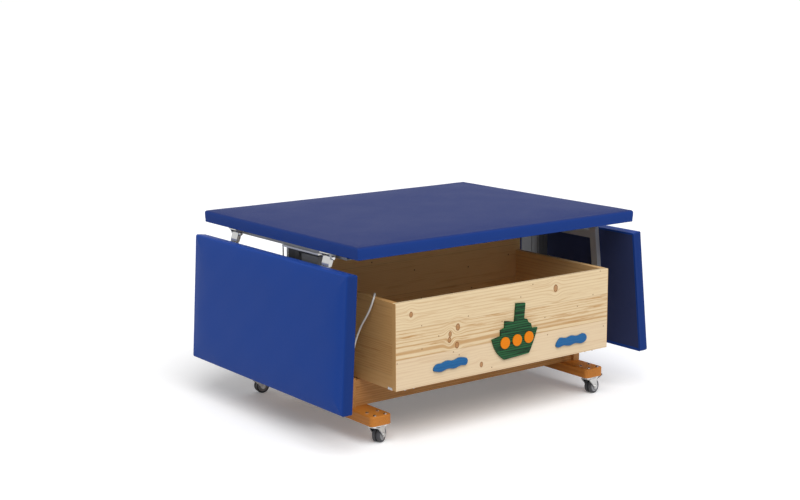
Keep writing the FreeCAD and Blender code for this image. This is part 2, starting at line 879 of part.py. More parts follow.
def castor_fork(with_brake):
    """The pressed fork under its ball race, with two cheeks and the axle, trailing along X."""
    race_top = plate_bottom - plate_clearance
    crown_top = race_top - race_height
    crown_under = crown_top - fork_wall
    inner = wheel_width / 2 + fork_side_gap
    outer = inner + fork_wall
    bore = kingpin_diameter / 2 + running_clearance
    bead = race_height / 4
    race = revolved(
        [
            V(bore, 0, crown_under), V(fork_crown_radius, 0, crown_under),
            V(fork_crown_radius, 0, crown_top), V(race_radius, 0, crown_top + bead),
            V(race_radius, 0, race_top - bead), V(fork_crown_radius, 0, race_top),
            V(bore, 0, race_top),
        ],
        V(0, 0, 0), V(0, 0, 1),
    )
    crown = block(-fork_front_reach, fork_crown_reach, -outer, outer, crown_under, crown_top)
    king_hole = Part.makeCylinder(fork_crown_radius / 2, fork_wall * 3, V(0, 0, crown_under - fork_wall))
    crown = crown.cut(king_hole)
    axle_z = wheel_diameter / 2
    cheeks = []
    rim_out = outer + fork_rim_height
    for y0, y1, rim_y in ((inner, outer, rim_out), (-outer, -inner, -rim_out)):
        points = [
            (-fork_front_reach, crown_under), (fork_crown_reach, crown_under),
            (trail + fork_axle_round, axle_z), (trail - fork_axle_round, axle_z),
        ]
        rim = [
            (-fork_front_reach, crown_top), (fork_rim_width - fork_front_reach, crown_top),
            (2 * fork_rim_width - fork_front_reach, crown_under),
            (trail - fork_axle_round + fork_rim_width, axle_z), (trail - fork_axle_round, axle_z),
            (-fork_front_reach, crown_under),
        ]
        cheek = join([
            side_profile(points, y0, y1),
            block(-fork_front_reach, fork_crown_reach, y0, y1, crown_under, crown_top),
            Part.makeCylinder(fork_axle_round, fork_wall, V(trail, y0, axle_z), V(0, 1, 0)),
            side_profile(rim, min(y0, rim_y), max(y1, rim_y)),
        ])
        if with_brake:
            ear_place = V(pedal_pivot_reach, y0, pedal_pivot_height)
            ear_radius = pedal_barrel_diameter / 2
            ear = Part.makeCylinder(ear_radius, fork_wall, ear_place, V(0, 1, 0))
            web = side_profile(
                [
                    (trail, crown_under), (trail, crown_top),
                    (pedal_pivot_reach, pedal_pivot_height + ear_radius),
                    (pedal_pivot_reach, pedal_pivot_height - ear_radius),
                ],
                y0, y1,
            )
            cheek = join([cheek, ear, web])
            pin_hole = pedal_pin_diameter / 2 + running_clearance
            start = ear_place - V(0, overrun, 0)
            cheek = cheek.cut(Part.makeCylinder(pin_hole, fork_wall + 2 * overrun, start, V(0, 1, 0)))
        start = V(trail, y0 - overrun, axle_z)
        hole = Part.makeCylinder(axle_diameter / 2, fork_wall + 2 * overrun, start, V(0, 1, 0))
        cheeks.append(cheek.cut(hole))
    fork = join([race, crown] + cheeks)
    shank, head = axle_diameter / 2, axle_head_diameter / 2
    end = outer + axle_head_height
    profile = [(0, end), (head, end), (head, outer), (shank, outer)]
    outline = profile + [(radius, -along) for radius, along in reversed(profile)]
    axle = revolved([V(trail, y, axle_z + r) for r, y in outline], V(trail, 0, axle_z), V(0, 1, 0))
    return Part.makeCompound([fork, axle])


def castor_wheel():
    """A grey wheel with two treads, a groove between them and a recessed hub."""
    radius = wheel_diameter / 2
    half = wheel_width / 2
    hub = hub_diameter / 2
    bore = axle_diameter / 2 + running_clearance
    groove = tread_groove_width / 2
    side = [
        (bore, half), (hub * 2 / 3, half), (hub, half - hub_recess),
        (radius - 2 * tread_round, half - hub_recess), (radius - tread_round, half),
        (radius - tread_round / 3, half - tread_round / 3),
        (radius, half - tread_round), (radius, groove), (radius - tread_groove_depth, groove),
    ]
    outline = side + [(r, -y) for r, y in reversed(side)]
    points = [V(trail, y, radius + r) for r, y in outline]
    return revolved(points, V(trail, 0, radius), V(0, 1, 0))


def brake_pedal():
    """The black brake pedal on its pin across the fork."""
    pivot = V(pedal_pivot_reach, 0, pedal_pivot_height)
    inner = wheel_width / 2 + fork_side_gap
    pin_length = 2 * (inner + fork_wall)
    start = pivot - V(0, pin_length / 2, 0)
    pin = Part.makeCylinder(pedal_pin_diameter / 2, pin_length, start, V(0, 1, 0))
    barrel_length = 2 * (inner - plate_clearance)
    start = pivot - V(0, barrel_length / 2, 0)
    barrel = Part.makeCylinder(pedal_barrel_diameter / 2, barrel_length, start, V(0, 1, 0))
    middle = pedal_pivot_height
    tip_x = pedal_pivot_reach + pedal_length
    neck_x = pedal_pivot_reach + pedal_barrel_diameter
    lever = [
        (pedal_pivot_reach, middle - pedal_thickness / 2),
        (neck_x, middle - pedal_thickness / 2),
        (tip_x, middle + pedal_rise),
        (tip_x, middle + pedal_rise + pedal_thickness),
        (neck_x, middle + pedal_thickness),
        (pedal_pivot_reach, middle + pedal_thickness / 2),
    ]
    neck = side_profile(lever, -barrel_length / 2, barrel_length / 2)
    tread = side_profile(lever[1:5], -pedal_width / 2, pedal_width / 2)
    return join([pin, barrel, neck, tread])


def castor_bolt(x, y):
    """A bolt through the foot and the castor plate, with a domed head above and a nut below."""
    shank, head = castor_bolt_diameter / 2, castor_bolt_head_diameter / 2
    low = plate_bottom - castor_nut_height
    points = [
        V(x, y, low), V(x + shank, y, low), V(x + shank, y, foot_top), V(x + head, y, foot_top),
        V(x + head, y, foot_top + castor_bolt_head_height / 2),
        V(x + head / 2, y, foot_top + castor_bolt_head_height), V(x, y, foot_top + castor_bolt_head_height),
    ]
    bolt = revolved(points, V(x, y, 0), V(0, 0, 1))
    nut = []
    nut_radius = castor_bolt_diameter * 0.9
    for corner in range(7):
        angle = corner * math.pi / 3
        nut.append(V(x + nut_radius * math.cos(angle), y + nut_radius * math.sin(angle), low))
    prism = Part.Face(Part.makePolygon(nut)).extrude(V(0, 0, castor_nut_height))
    return join([bolt, prism])


def make_castors():
    """Four swivel castors, each turned its own way, two of them with brakes."""
    places = (
        ("front_left", -castor_x, castor_front_y, front_left_castor_angle, False),
        ("front_right", castor_x, castor_front_y, front_right_castor_angle, True),
        ("rear_left", -castor_x, castor_rear_y, rear_left_castor_angle, True),
        ("rear_right", castor_x, castor_rear_y, rear_right_castor_angle, False),
    )
    made = {}
    plates = []
    for name, x, y, angle, braked in places:
        plates.append(moved(castor_plate(), x, y, 0))
        pieces = {"castor_fork_": castor_fork(braked), "castor_wheel_": castor_wheel()}
        if braked:
            pieces["brake_pedal_"] = brake_pedal()
        for kind, shape in pieces.items():
            shape.rotate(V(0, 0, 0), V(0, 0, 1), angle)
            made[kind + name] = moved(shape, x, y, 0)
    bolts = []
    for x, y in bolt_places():
        bolts += [castor_bolt(x, y), castor_bolt(-x, y)]
    made["castor_plates"] = Part.makeCompound(plates)
    made["castor_bolts"] = Part.makeCompound(bolts)
    return made


def make_control():
    """The control box on the left side board, and the gland that its mains lead leaves."""
    back = column_front - control_gap
    front = back - control_length
    low = foot_top + control_rise
    body = block(-board_outer - control_thickness, -board_outer, front, back, low, low + control_height)
    outer_edges = [e for e in body.Edges if e.CenterOfMass.x < -board_outer - control_thickness / 4]
    body = body.makeFillet(control_round, outer_edges)
    x = -board_outer - gland_offset
    z = low + gland_rise
    flange, neck = gland_diameter / 2, gland_neck_diameter / 2
    step = front - gland_flange_height
    end = step - gland_neck_height
    points = [
        V(x, front, z), V(x + flange, front, z), V(x + flange, step, z), V(x + neck, step, z),
        V(x + neck * 2 / 3, end, z), V(x, end, z),
    ]
    return {"control_box": body, "cord_gland": revolved(points, V(x, front, z), V(0, 1, 0))}


def corner_arc(start, corner, end):
    """The arc that touches two equal lines at their far ends."""
    one, two = (corner - start).normalize(), (end - corner).normalize()
    half_turn = math.acos(max(-1.0, min(1.0, one.dot(two)))) / 2
    chord_middle = (start + end) * 0.5
    share = math.cos(half_turn) / (1 + math.cos(half_turn))
    return Part.Arc(start, chord_middle + (corner - chord_middle) * share, end)


def lead_path(points):
    """Straight runs joined by the largest round bends that they leave room for."""
    edges = []
    radii = []
    here = points[0]
    for before, corner, after in zip(points, points[1:], points[2:]):
        run = min((corner - before).Length, (after - corner).Length)
        reach = run * cord_arc_share
        into, out = (corner - before).normalize(), (after - corner).normalize()
        start, end = corner - into * reach, corner + out * reach
        half_turn = math.acos(max(-1.0, min(1.0, into.dot(out)))) / 2
        radii.append(reach / math.tan(half_turn))
        edges.append(Part.LineSegment(here, start).toShape())
        edges.append(corner_arc(start, corner, end).toShape())
        here = end
    edges.append(Part.LineSegment(here, points[-1]).toShape())
    return edges, radii


def swept(edges, start, direction):
    """A round tube drawn along joined edges."""
    circle = Part.Wire(Part.makeCircle(cord_radius, start, direction))
    return Part.Wire(edges).makePipeShell([circle], True, False)


def coil_path():
    """Two layers of loops: in on the floor, up by half a turn, and out again above."""
    edges = []
    x = coil_centre_x
    half_pitch = coil_pitch / 2
    low = cord_floor
    high = low + coil_pitch
    here = V(x, coil_centre_y - coil_radius, low)
    edges.append(Part.LineSegment(here - V(coil_end_length, 0, 0), here).toShape())
    heading = 1
    radii = [coil_radius - step * half_pitch for step in range(coil_half_turns)]
    for radius in radii:
        middle = V(x + heading * radius, here.y + heading * radius, low)
        end = V(x, here.y + 2 * heading * radius, low)
        edges.append(Part.Arc(here, middle, end).toShape())
        here = end
        heading = -heading
    radius = coil_radius - coil_half_turns * half_pitch
    end = V(x, here.y + 2 * heading * radius, high)
    reach = (end - here).Length / 2
    one, two = here + V(heading * reach, 0, 0), end + V(heading * reach, 0, 0)
    middle = (one + two) * 0.5
    edges.append(corner_arc(here, one, middle).toShape())
    edges.append(corner_arc(middle, two, end).toShape())
    here = end
    heading = -heading
    for radius in reversed(radii):
        middle = V(x + heading * radius, here.y + heading * radius, high)
        end = V(x, here.y + 2 * heading * radius, high)
        edges.append(Part.Arc(here, middle, end).toShape())
        here = end
        heading = -heading
    edges.append(Part.LineSegment(here, here + V(heading * coil_tail_length, 0, 0)).toShape())
    return edges


def least_gap(edges):
    """The least distance between turns of a wound path, less the tube's own thickness."""
    wire = Part.Wire(edges)
    length = wire.Length
    count = int(length / cord_radius)
    points = wire.discretize(count)
    apart = int(count * 2 * math.pi * cord_diameter / length)
    best = length
    for i, point in enumerate(points):
        for other in points[i + apart:]:
            best = min(best, point.distanceToPoint(other))
    return best - cord_diameter


def make_plug(end, heading):
    """A flat two-pin plug with a tapered strain relief, lying on the drawer floor."""
    half_height = end.z - drawer_bottom - drawer_floor_thickness - seat_clearance
    relief_end = end + V(heading * plug_relief_length, 0, 0)
    radius, wide = cord_radius + plug_pin_diameter / 4, plug_relief_diameter / 2
    points = [
        end, end + V(0, 0, radius), relief_end + V(0, 0, wide), relief_end,
    ]
    relief = revolved(points, end, V(1, 0, 0))
    x0, x1 = relief_end.x, relief_end.x + heading * plug_length
    body = block(
        x0, x1, end.y - plug_width / 2, end.y + plug_width / 2, end.z - half_height, end.z + half_height
    )
    along = [e for e in body.Edges if abs(e.tangentAt(e.FirstParameter).x) > 0.9]
    pieces = [relief, body.makeFillet(plug_round, along)]
    for sign in (-1, 1):
        start = V(x1, end.y + sign * plug_pin_spacing / 2, end.z)
        pieces.append(
            Part.makeCylinder(plug_pin_diameter / 2, plug_pin_length, start, V(heading, 0, 0))
        )
    return join(pieces)


def make_lead():
    """The mains lead: its free route, its coil in the drawer and its plug."""
    points = [V(*point) for point in cord_route]
    edges, radii = lead_path(points)
    tube = swept(edges, points[0], points[1] - points[0])
    length = Part.Wire(edges).Length
    section = math.pi * cord_radius * cord_radius
    print("lead bend radii", [round(radius, 1) for radius in radii])
    print("lead volume over section times length", round(tube.Volume / section / length, 5))
    loops = coil_path()
    start = loops[0].Vertexes[0].Point
    coil = swept(loops, start, V(1, 0, 0))
    coil_length = Part.Wire(loops).Length
    print("coil volume over section times length", round(coil.Volume / section / coil_length, 5))
    print("coil least gap", round(least_gap(loops), 3), "lead in all", round(length + coil_length))
    last = loops[-1].Vertexes[-1].Point
    heading = 1 if last.x > coil_centre_x else -1
    return {"mains_cord": tube, "cord_coil": coil, "mains_plug": make_plug(last, heading)}


lead_nodes = ("mains_cord", "cord_coil", "mains_plug")
pieces = {}
for maker in (
    make_top, make_leaves, make_hinges, make_top_frame, make_columns, make_tie, make_base,
    make_slides, make_drawer, make_ship, make_castors, make_control, make_lead,
):
    pieces.update(maker())

whole = FreeCAD.BoundBox()
for name, shape in pieces.items():
    if name not in lead_nodes:
        whole.add(shape.BoundBox)
shift = V(-whole.Center.x, -whole.Center.y, 0)
print("origin shift", round(shift.x, 3), round(shift.y, 3), "box", whole)
for name, shape in pieces.items():
    if not shape.isValid():
        print("not valid:", name)
    shape.translate(shift)
    shape.exportStep("parts/" + name + ".step")
print("nodes", len(pieces), "solids", sum(len(shape.Solids) for shape in pieces.values()))
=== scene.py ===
import json
import math

import bmesh
import bpy
import numpy as np
from mathutils import Matrix, Vector


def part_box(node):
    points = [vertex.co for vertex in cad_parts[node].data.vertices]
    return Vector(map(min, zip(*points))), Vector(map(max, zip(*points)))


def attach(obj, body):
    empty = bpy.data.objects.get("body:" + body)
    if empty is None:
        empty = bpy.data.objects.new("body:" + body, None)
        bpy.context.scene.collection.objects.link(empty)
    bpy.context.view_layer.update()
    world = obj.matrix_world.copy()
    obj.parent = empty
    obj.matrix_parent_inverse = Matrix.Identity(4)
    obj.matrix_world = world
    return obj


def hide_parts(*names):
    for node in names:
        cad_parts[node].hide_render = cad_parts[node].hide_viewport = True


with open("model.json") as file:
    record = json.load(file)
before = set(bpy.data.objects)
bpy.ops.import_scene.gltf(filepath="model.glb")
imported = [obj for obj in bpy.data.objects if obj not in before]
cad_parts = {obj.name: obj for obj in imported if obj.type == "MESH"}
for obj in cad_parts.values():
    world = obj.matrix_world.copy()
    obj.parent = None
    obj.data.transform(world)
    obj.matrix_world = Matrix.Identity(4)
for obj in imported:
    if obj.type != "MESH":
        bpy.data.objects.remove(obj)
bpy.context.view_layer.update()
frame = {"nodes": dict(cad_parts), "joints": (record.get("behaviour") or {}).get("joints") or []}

# Camera. It stands to the front left of the couch, a little above the top, where the
# photograph was taken from, and sees the drawer, the left leaf and the blue top.
camera_place = Vector((-3.151241, -4.08264, 1.484))
camera_aim = Vector((0.58864, 0.78752, -0.18253)).normalized()
camera_roll = -0.00513
camera_lens = 65.88

level_right = camera_aim.cross(Vector((0, 0, 1))).normalized()
level_up = level_right.cross(camera_aim)
camera_right = level_right * math.cos(camera_roll) + level_up * math.sin(camera_roll)
camera_up = camera_right.cross(camera_aim)
camera_data = bpy.data.cameras.new("camera")
camera_data.sensor_width = 36
camera_data.sensor_fit = "HORIZONTAL"
camera_data.lens = camera_lens
camera_data.clip_end = 300
camera = bpy.data.objects.new("camera", camera_data)
camera.matrix_world = Matrix((
    (camera_right.x, camera_up.x, -camera_aim.x, camera_place.x),
    (camera_right.y, camera_up.y, -camera_aim.y, camera_place.y),
    (camera_right.z, camera_up.z, -camera_aim.z, camera_place.z),
    (0, 0, 0, 1),
))
bpy.context.scene.collection.objects.link(camera)
bpy.context.scene.camera = camera

# Mains lead. A white round lead of about 1.9 m leaves the control box, climbs past the
# drawer's left side, goes over its edge and is wound into a coil on the drawer floor.
lead_thickness = 0.0065
lead_colour = (0.72, 0.7, 0.67, 1)
lead_shade = (0.66, 0.64, 0.6, 1)
frame_shift = np.array((-0.010761, 0.010, 0.0))
grain_depth = 0.0002
lead_route = [
    (-538, -214, 165),
    (-538, -250, 165),
    (-535, -288, 186),
    (-527, -310, 230),
    (-515, -319, 284),
    (-500, -322, 343),
    (-492, -343, 390),
    (-483, -371, 434),
    (-474, -388, 487),
    (-438, -340, 487),
    (-430, -336, 440),
    (-427, -346, 394),
    (-429, -366, 348),
    (-424, -392, 303),
    (-426, -418, 262),
    (-420, -444, 224),
    (-386, -459, 206.55),
]
coil_middle = (-345.0, -419.0)
coil_floor = 206.55
coil_radius = 40.0
coil_pitch = 7.2
coil_half_turns = 5
coil_step = 15.0
coil_tail = 13.0


def coil_points():
    """Half circles about two centres in turn, each half a pitch smaller, then up one layer and out again.

    A half circle runs along by the radius times the sine and across by the radius times one less the cosine.
    """
    angles = np.radians(np.arange(0, 180, coil_step))
    radii = [coil_radius - step * coil_pitch / 2 for step in range(coil_half_turns)]
    inmost = coil_radius - coil_half_turns * coil_pitch / 2
    rows = []
    here = coil_middle[1] - coil_radius
    heading = 1
    for place, radius in enumerate(radii + [inmost] + radii[::-1]):
        along = coil_middle[0] + heading * radius * np.sin(angles)
        across = here + heading * radius * (1 - np.cos(angles))
        rising = angles / math.pi if place == coil_half_turns else 0
        climb = np.clip(place - coil_half_turns, 0, 1) + rising
        height = coil_floor + coil_pitch * np.broadcast_to(climb, angles.shape)
        rows.append(np.stack([along, across, height], 1))
        here += 2 * heading * radius
        heading = -heading
    end = (coil_middle[0], here, coil_floor + coil_pitch)
    tail = (coil_middle[0] + heading * coil_tail, here, coil_floor + coil_pitch)
    return np.concatenate(rows + [np.array([end, tail])])


def node(tree, kind, *first, **values):
    """One shader node: the first values go to its inputs in turn, each named one to a setting or an input.

    An input takes a number, or is linked where the value is a socket.
    """
    made = tree.nodes.new(kind)
    entries = dict(enumerate(first))
    for name, value in values.items():
        if hasattr(made, name):
            setattr(made, name, value)
        else:
            entries[name.replace("_", " ")] = value
    for label, value in entries.items():
        if isinstance(value, bpy.types.NodeSocket):
            tree.links.new(value, made.inputs[label])
        else:
            made.inputs[label].default_value = value
    return made


def ranged(tree, value, **ends):
    """A value carried from one range to another, 0 to 1 where no end is given."""
    return node(tree, "ShaderNodeMapRange", Value=value, **ends).outputs["Result"]


def noise(tree, place, scale, detail, roughness=0.5):
    """Soft noise at a place."""
    made = node(tree, "ShaderNodeTexNoise", Vector=place, Scale=scale, Detail=detail, Roughness=roughness)
    return made.outputs["Fac"]


def blended(tree, colour, other, mask):
    """A colour with another laid over it where the mask is one."""
    return node(tree, "ShaderNodeMix", data_type="RGBA", Factor=mask, A=colour, B=other).outputs["Result"]


def object_place(tree):
    """The place on the object, in metres."""
    return node(tree, "ShaderNodeTexCoord").outputs["Object"]


def new_finish(name, roughness, metallic=0.0):
    """A material with its shader, and the node tree to build the rest in."""
    material = bpy.data.materials.new(name)
    material.use_nodes = True
    tree = material.node_tree
    shader = tree.nodes["Principled BSDF"]
    shader.inputs["Roughness"].default_value = roughness
    shader.inputs["Metallic"].default_value = metallic
    return material, tree, shader


def feed(tree, shader, colour, height, relief, depth, uneven, low, high):
    """Links a colour, a bump from a height, and a roughness from low to high with an uneven value."""
    bump = node(tree, "ShaderNodeBump", Height=height, Strength=relief, Distance=depth)
    tree.links.new(colour, shader.inputs["Base Color"])
    tree.links.new(bump.outputs["Normal"], shader.inputs["Normal"])
    tree.links.new(ranged(tree, uneven, To_Min=low, To_Max=high), shader.inputs["Roughness"])


def new_effect(name, inputs, outputs):
    """A shader node group with sockets of (name, kind, starting value), and what its inputs give."""
    group = bpy.data.node_groups.new(name, "ShaderNodeTree")
    for label, kind, start in inputs:
        socket = group.interface.new_socket(label, in_out="INPUT", socket_type="NodeSocket" + kind)
        if start is not None:
            socket.default_value = start
    for label, kind in outputs:
        group.interface.new_socket(label, in_out="OUTPUT", socket_type="NodeSocket" + kind)
    return group, group.nodes.new("NodeGroupInput").outputs


def mottle_effect():
    """Two sizes of noise: a soft blotch that shifts the colour, and a fine grain for the bump."""
    group, given = new_effect(
        "mottle",
        [("Vector", "Vector", None), ("Colour", "Color", (0.5, 0.5, 0.5, 1)),
         ("Second", "Color", (0.4, 0.4, 0.4, 1)), ("Blotch", "Float", 12.0), ("Grain", "Float", 900.0)],
        [("Colour", "Color"), ("Height", "Float"), ("Blotches", "Float")],
    )
    blotches = noise(group, given["Vector"], given["Blotch"], detail=5.0, roughness=0.6)
    height = noise(group, given["Vector"], given["Grain"], detail=3.0, roughness=0.6)
    colour = blended(group, given["Colour"], given["Second"], blotches)
    node(group, "NodeGroupOutput", Colour=colour, Height=height, Blotches=blotches)
    return group


mottle = mottle_effect()


def mottled(tree, place, colour, second, blotch, grain):
    """The blotches and the grain at a place: a colour, a height and the blotches themselves."""
    return node(
        tree, "ShaderNodeGroup", node_tree=mottle, Vector=place, Colour=colour, Second=second,
        Blotch=blotch, Grain=grain,
    ).outputs


def mottled_finish(name, colour, second, roughness, blotch, metallic=0.0, grain=900.0, relief=0.1):
    """A material that is one tone with soft blotches, a fine grain and a slightly uneven gloss."""
    material, tree, shader = new_finish(name, roughness, metallic)
    effect = mottled(tree, object_place(tree), colour, second, blotch, grain)
    feed(
        tree, shader, effect["Colour"], effect["Height"], relief=relief, depth=grain_depth,
        uneven=effect["Blotches"], low=roughness * 0.82, high=min(1.0, roughness * 1.2),
    )
    return material


def dress(material, *names):
    """Gives CAD nodes a finish of the scene's own."""
    for name in names:
        piece = frame["nodes"][name]
        piece.data.materials.clear()
        piece.data.materials.append(material)


lead_points = np.concatenate([np.array(lead_route, float), coil_points()]) / 1000 + frame_shift
lead_curve = bpy.data.curves.new("mains_lead", "CURVE")
lead_curve.dimensions = "3D"
lead_curve.bevel_depth = lead_thickness / 2
lead_curve.bevel_resolution = 5
lead_curve.resolution_u = 6
lead_spline = lead_curve.splines.new("NURBS")
lead_spline.points.add(len(lead_points) - 1)
lead_weights = np.ones((len(lead_points), 1))
lead_spline.points.foreach_set("co", np.concatenate([lead_points, lead_weights], 1).ravel())
lead_spline.order_u = 3
lead_spline.use_endpoint_u = True
mains_lead = bpy.data.objects.new("mains_lead", lead_curve)
bpy.context.scene.collection.objects.link(mains_lead)
lead_finish = mottled_finish("white_lead", lead_colour, lead_shade, roughness=0.42, blotch=30.0)
lead_curve.materials.append(lead_finish)
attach(mains_lead, "base")
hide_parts("mains_cord", "cord_coil")
dress(lead_finish, "mains_plug")

# Strain relief. A black rubber boot, ribbed and tapered, is pushed into the gland and
# holds the lead straight for its first three centimetres.
boot_length = 0.032
boot_start_radius = 0.0062
boot_end_radius = 0.0037
boot_ribs = 7
boot_steps = 57
boot_groove = 0.0005
pole_radius = 0.0001
pole_merge = 0.00025


def skin(name, points, wrap_rows=False, turn=False, merge=0.0):
    """A surface through a grid of points (rows, closed columns, 3), as quads; merge closes its poles."""
    rows, columns = points.shape[:2]
    index = np.arange(rows * columns).reshape(rows, columns)
    index = np.concatenate([index, index[:, :1]], 1)
    if wrap_rows:
        index = np.concatenate([index, index[:1]], 0)
    quads = np.stack([index[:-1, :-1], index[:-1, 1:], index[1:, 1:], index[1:, :-1]], -1).reshape(-1, 4)
    if turn:
        quads = quads[:, ::-1]
    return surface(name, points.reshape(-1, 3), quads, merge=merge)


def surface(name, vertices, faces, smooth=True, merge=0.0):
    """An object at the origin from an array of vertices and an array of faces of equal size."""
    mesh = bpy.data.meshes.new(name)
    mesh.vertices.add(len(vertices))
    mesh.vertices.foreach_set("co", np.ascontiguousarray(vertices, np.float32).ravel())
    mesh.loops.add(faces.size)
    mesh.loops.foreach_set("vertex_index", np.ascontiguousarray(faces, np.int32).ravel())
    mesh.polygons.add(len(faces))
    mesh.polygons.foreach_set("loop_start", np.arange(0, faces.size, faces.shape[1], dtype=np.int32))
    mesh.polygons.foreach_set("use_smooth", np.full(len(faces), smooth))
    mesh.update(calc_edges=True)
    if merge:
        work = bmesh.new()
        work.from_mesh(mesh)
        bmesh.ops.remove_doubles(work, verts=work.verts, dist=merge)
        bmesh.ops.recalc_face_normals(work, faces=work.faces)
        work.to_mesh(mesh)
        work.free()
    mesh.validate()
    piece = bpy.data.objects.new(name, mesh)
    bpy.context.scene.collection.objects.link(piece)
    return piece


def turned(profile, start, axis, sides):
    """Grid of a lathe profile: rows of (radius, distance along the axis), carried round the axis."""
    along = Vector(axis).normalized()
    one = along.orthogonal().normalized()
    two = along.cross(one)
    angles = np.linspace(0, 2 * math.pi, sides, endpoint=False)
    ring = np.cos(angles)[:, None] * np.array(one) + np.sin(angles)[:, None] * np.array(two)
    profile = np.array(profile, float)
    return np.array(start) + profile[:, 1, None, None] * np.array(along) + profile[:, 0, None, None] * ring


def finished(piece, body, material):
    """A new piece with its finish, riding on its body."""
    piece.data.materials.append(material)
    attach(piece, body)
    return piece


rib_steps = np.linspace(0, 1, boot_steps)
boot_radius = boot_start_radius + (boot_end_radius - boot_start_radius) * rib_steps
boot_radius = boot_radius - boot_groove * (0.5 - 0.5 * np.cos(rib_steps * 2 * math.pi * boot_ribs))
boot_profile = np.stack([boot_radius, rib_steps * boot_length], 1)
boot_profile = np.concatenate([[(pole_radius, 0.0)], boot_profile, [(pole_radius, boot_length)]])
boot_grid = turned(boot_profile, lead_points[0], (0, -1, 0), sides=24)
boot = skin("lead_boot", boot_grid, merge=pole_merge)
black_plastic = mottled_finish(
    "black_plastic", (0.018, 0.018, 0.02, 1), (0.028, 0.028, 0.03, 1), roughness=0.45,
    blotch=40.0, relief=0.2,
)
finished(boot, "base", black_plastic)
dress(black_plastic, "cord_gland", "control_box", "brake_pedal_front_right", "brake_pedal_rear_left")

# Upholstery. Blue leatherette is drawn tight over foam on a board and stapled underneath,
# with a tuck at each corner. The middle and the two leaves are made in the same way.
leaf_blue = ((0.009, 0.05, 0.275, 1), (0.012, 0.057, 0.3, 1))
# The top cushion's tones are a darker copy of the leaves' blue: painted shade on its sides.
side_blue_painted_shade = ((0.01, 0.041, 0.215, 1), (0.013, 0.048, 0.24, 1))
# The leaf boards' darker, greyer blue is painted shade on their undersides.
board_blue_painted_shade = ((0.03, 0.042, 0.12, 1), (0.036, 0.05, 0.14, 1))
# A darker blue for the narrow front and back sides of the leaves: painted shade.
edge_blue_painted_shade = (0.009, 0.036, 0.185, 1)
# A darker, greyer blue over the top face: painted shade and painted sheen. The lighter scuff tone below is
# wear.
top_shade_and_sheen_blue = (0.017, 0.03, 0.128, 1)
scuff_blue = (0.045, 0.06, 0.165, 1)
cover_wall = 0.0004
pad_corner = 0.006
edge_round = 0.008
foot_tuck = 0.0025
swell_allowance = -0.0012
swell_most = 0.0022
tuck_depth = 0.0011
tuck_width = 0.0013
tuck_lean = 0.05
slack_depth = 0.0004
corner_folds = 9
corner_share = 0.7
side_middle = 0.45
side_spread = 0.3
side_wave = 0.0005
side_rates = (61, 17)
top_wave = 0.0006
top_rates = (23, 19)
cross_rates = (41, 37)
cross_share = 0.6
corner_pull = 0.0007
crown = 0.006
top_crown_reach = 0.2
leaf_crown_reach = 0.11
under_inset = 0.004
steps_along, steps_across = 26, 34
side_rings = 8
least_corner = 0.001
foot_tuck_top = 0.8
crown_power = 1.1
foam_pressure = 4.0
cloth_stiffness = 20
cloth_frames = 20
# Depth below the top's edge where the top's painted shade and sheen begin.
painted_shade_height = 0.007
edge_width = 0.008
edge_fade = 0.006
leaf_gap = 0.005
tuck_fade = 0.003
end_zone = 0.03
top_fade_start = 0.002
top_fade = 0.006
corner_reach = 0.06
leather_specular = 0.09
leather_cells = 720.0
leather_depth = 0.00025
edge_steps = np.array([0, 1.5, 3, 4.5, 6, 8, 11, 15, 21, 30, 42, 57]) / 1000


def graded(half, middle_steps):
    """Places from one edge to the other: close together near the edges, even steps between."""
    near = half - edge_steps
    inner = np.linspace(-near[-1], near[-1], middle_steps)[1:-1]
    return np.concatenate([-near, inner, near[::-1]])


def round_corners(x, y, half_x, half_y, corner):
    """In a corner square, the larger of the two shares becomes the distance from the arc's middle."""
    right, back = np.abs(x) - (half_x - corner), np.abs(y) - (half_y - corner)
    inside = (right > 0) & (back > 0)
    pull = np.where(inside, np.maximum(right, back) / np.maximum(np.hypot(right, back), 1e-9), 1.0)
    new_x = np.where(inside, np.sign(x) * (half_x - corner + right * pull), x)
    new_y = np.where(inside, np.sign(y) * (half_y - corner + back * pull), y)
    return new_x, new_y


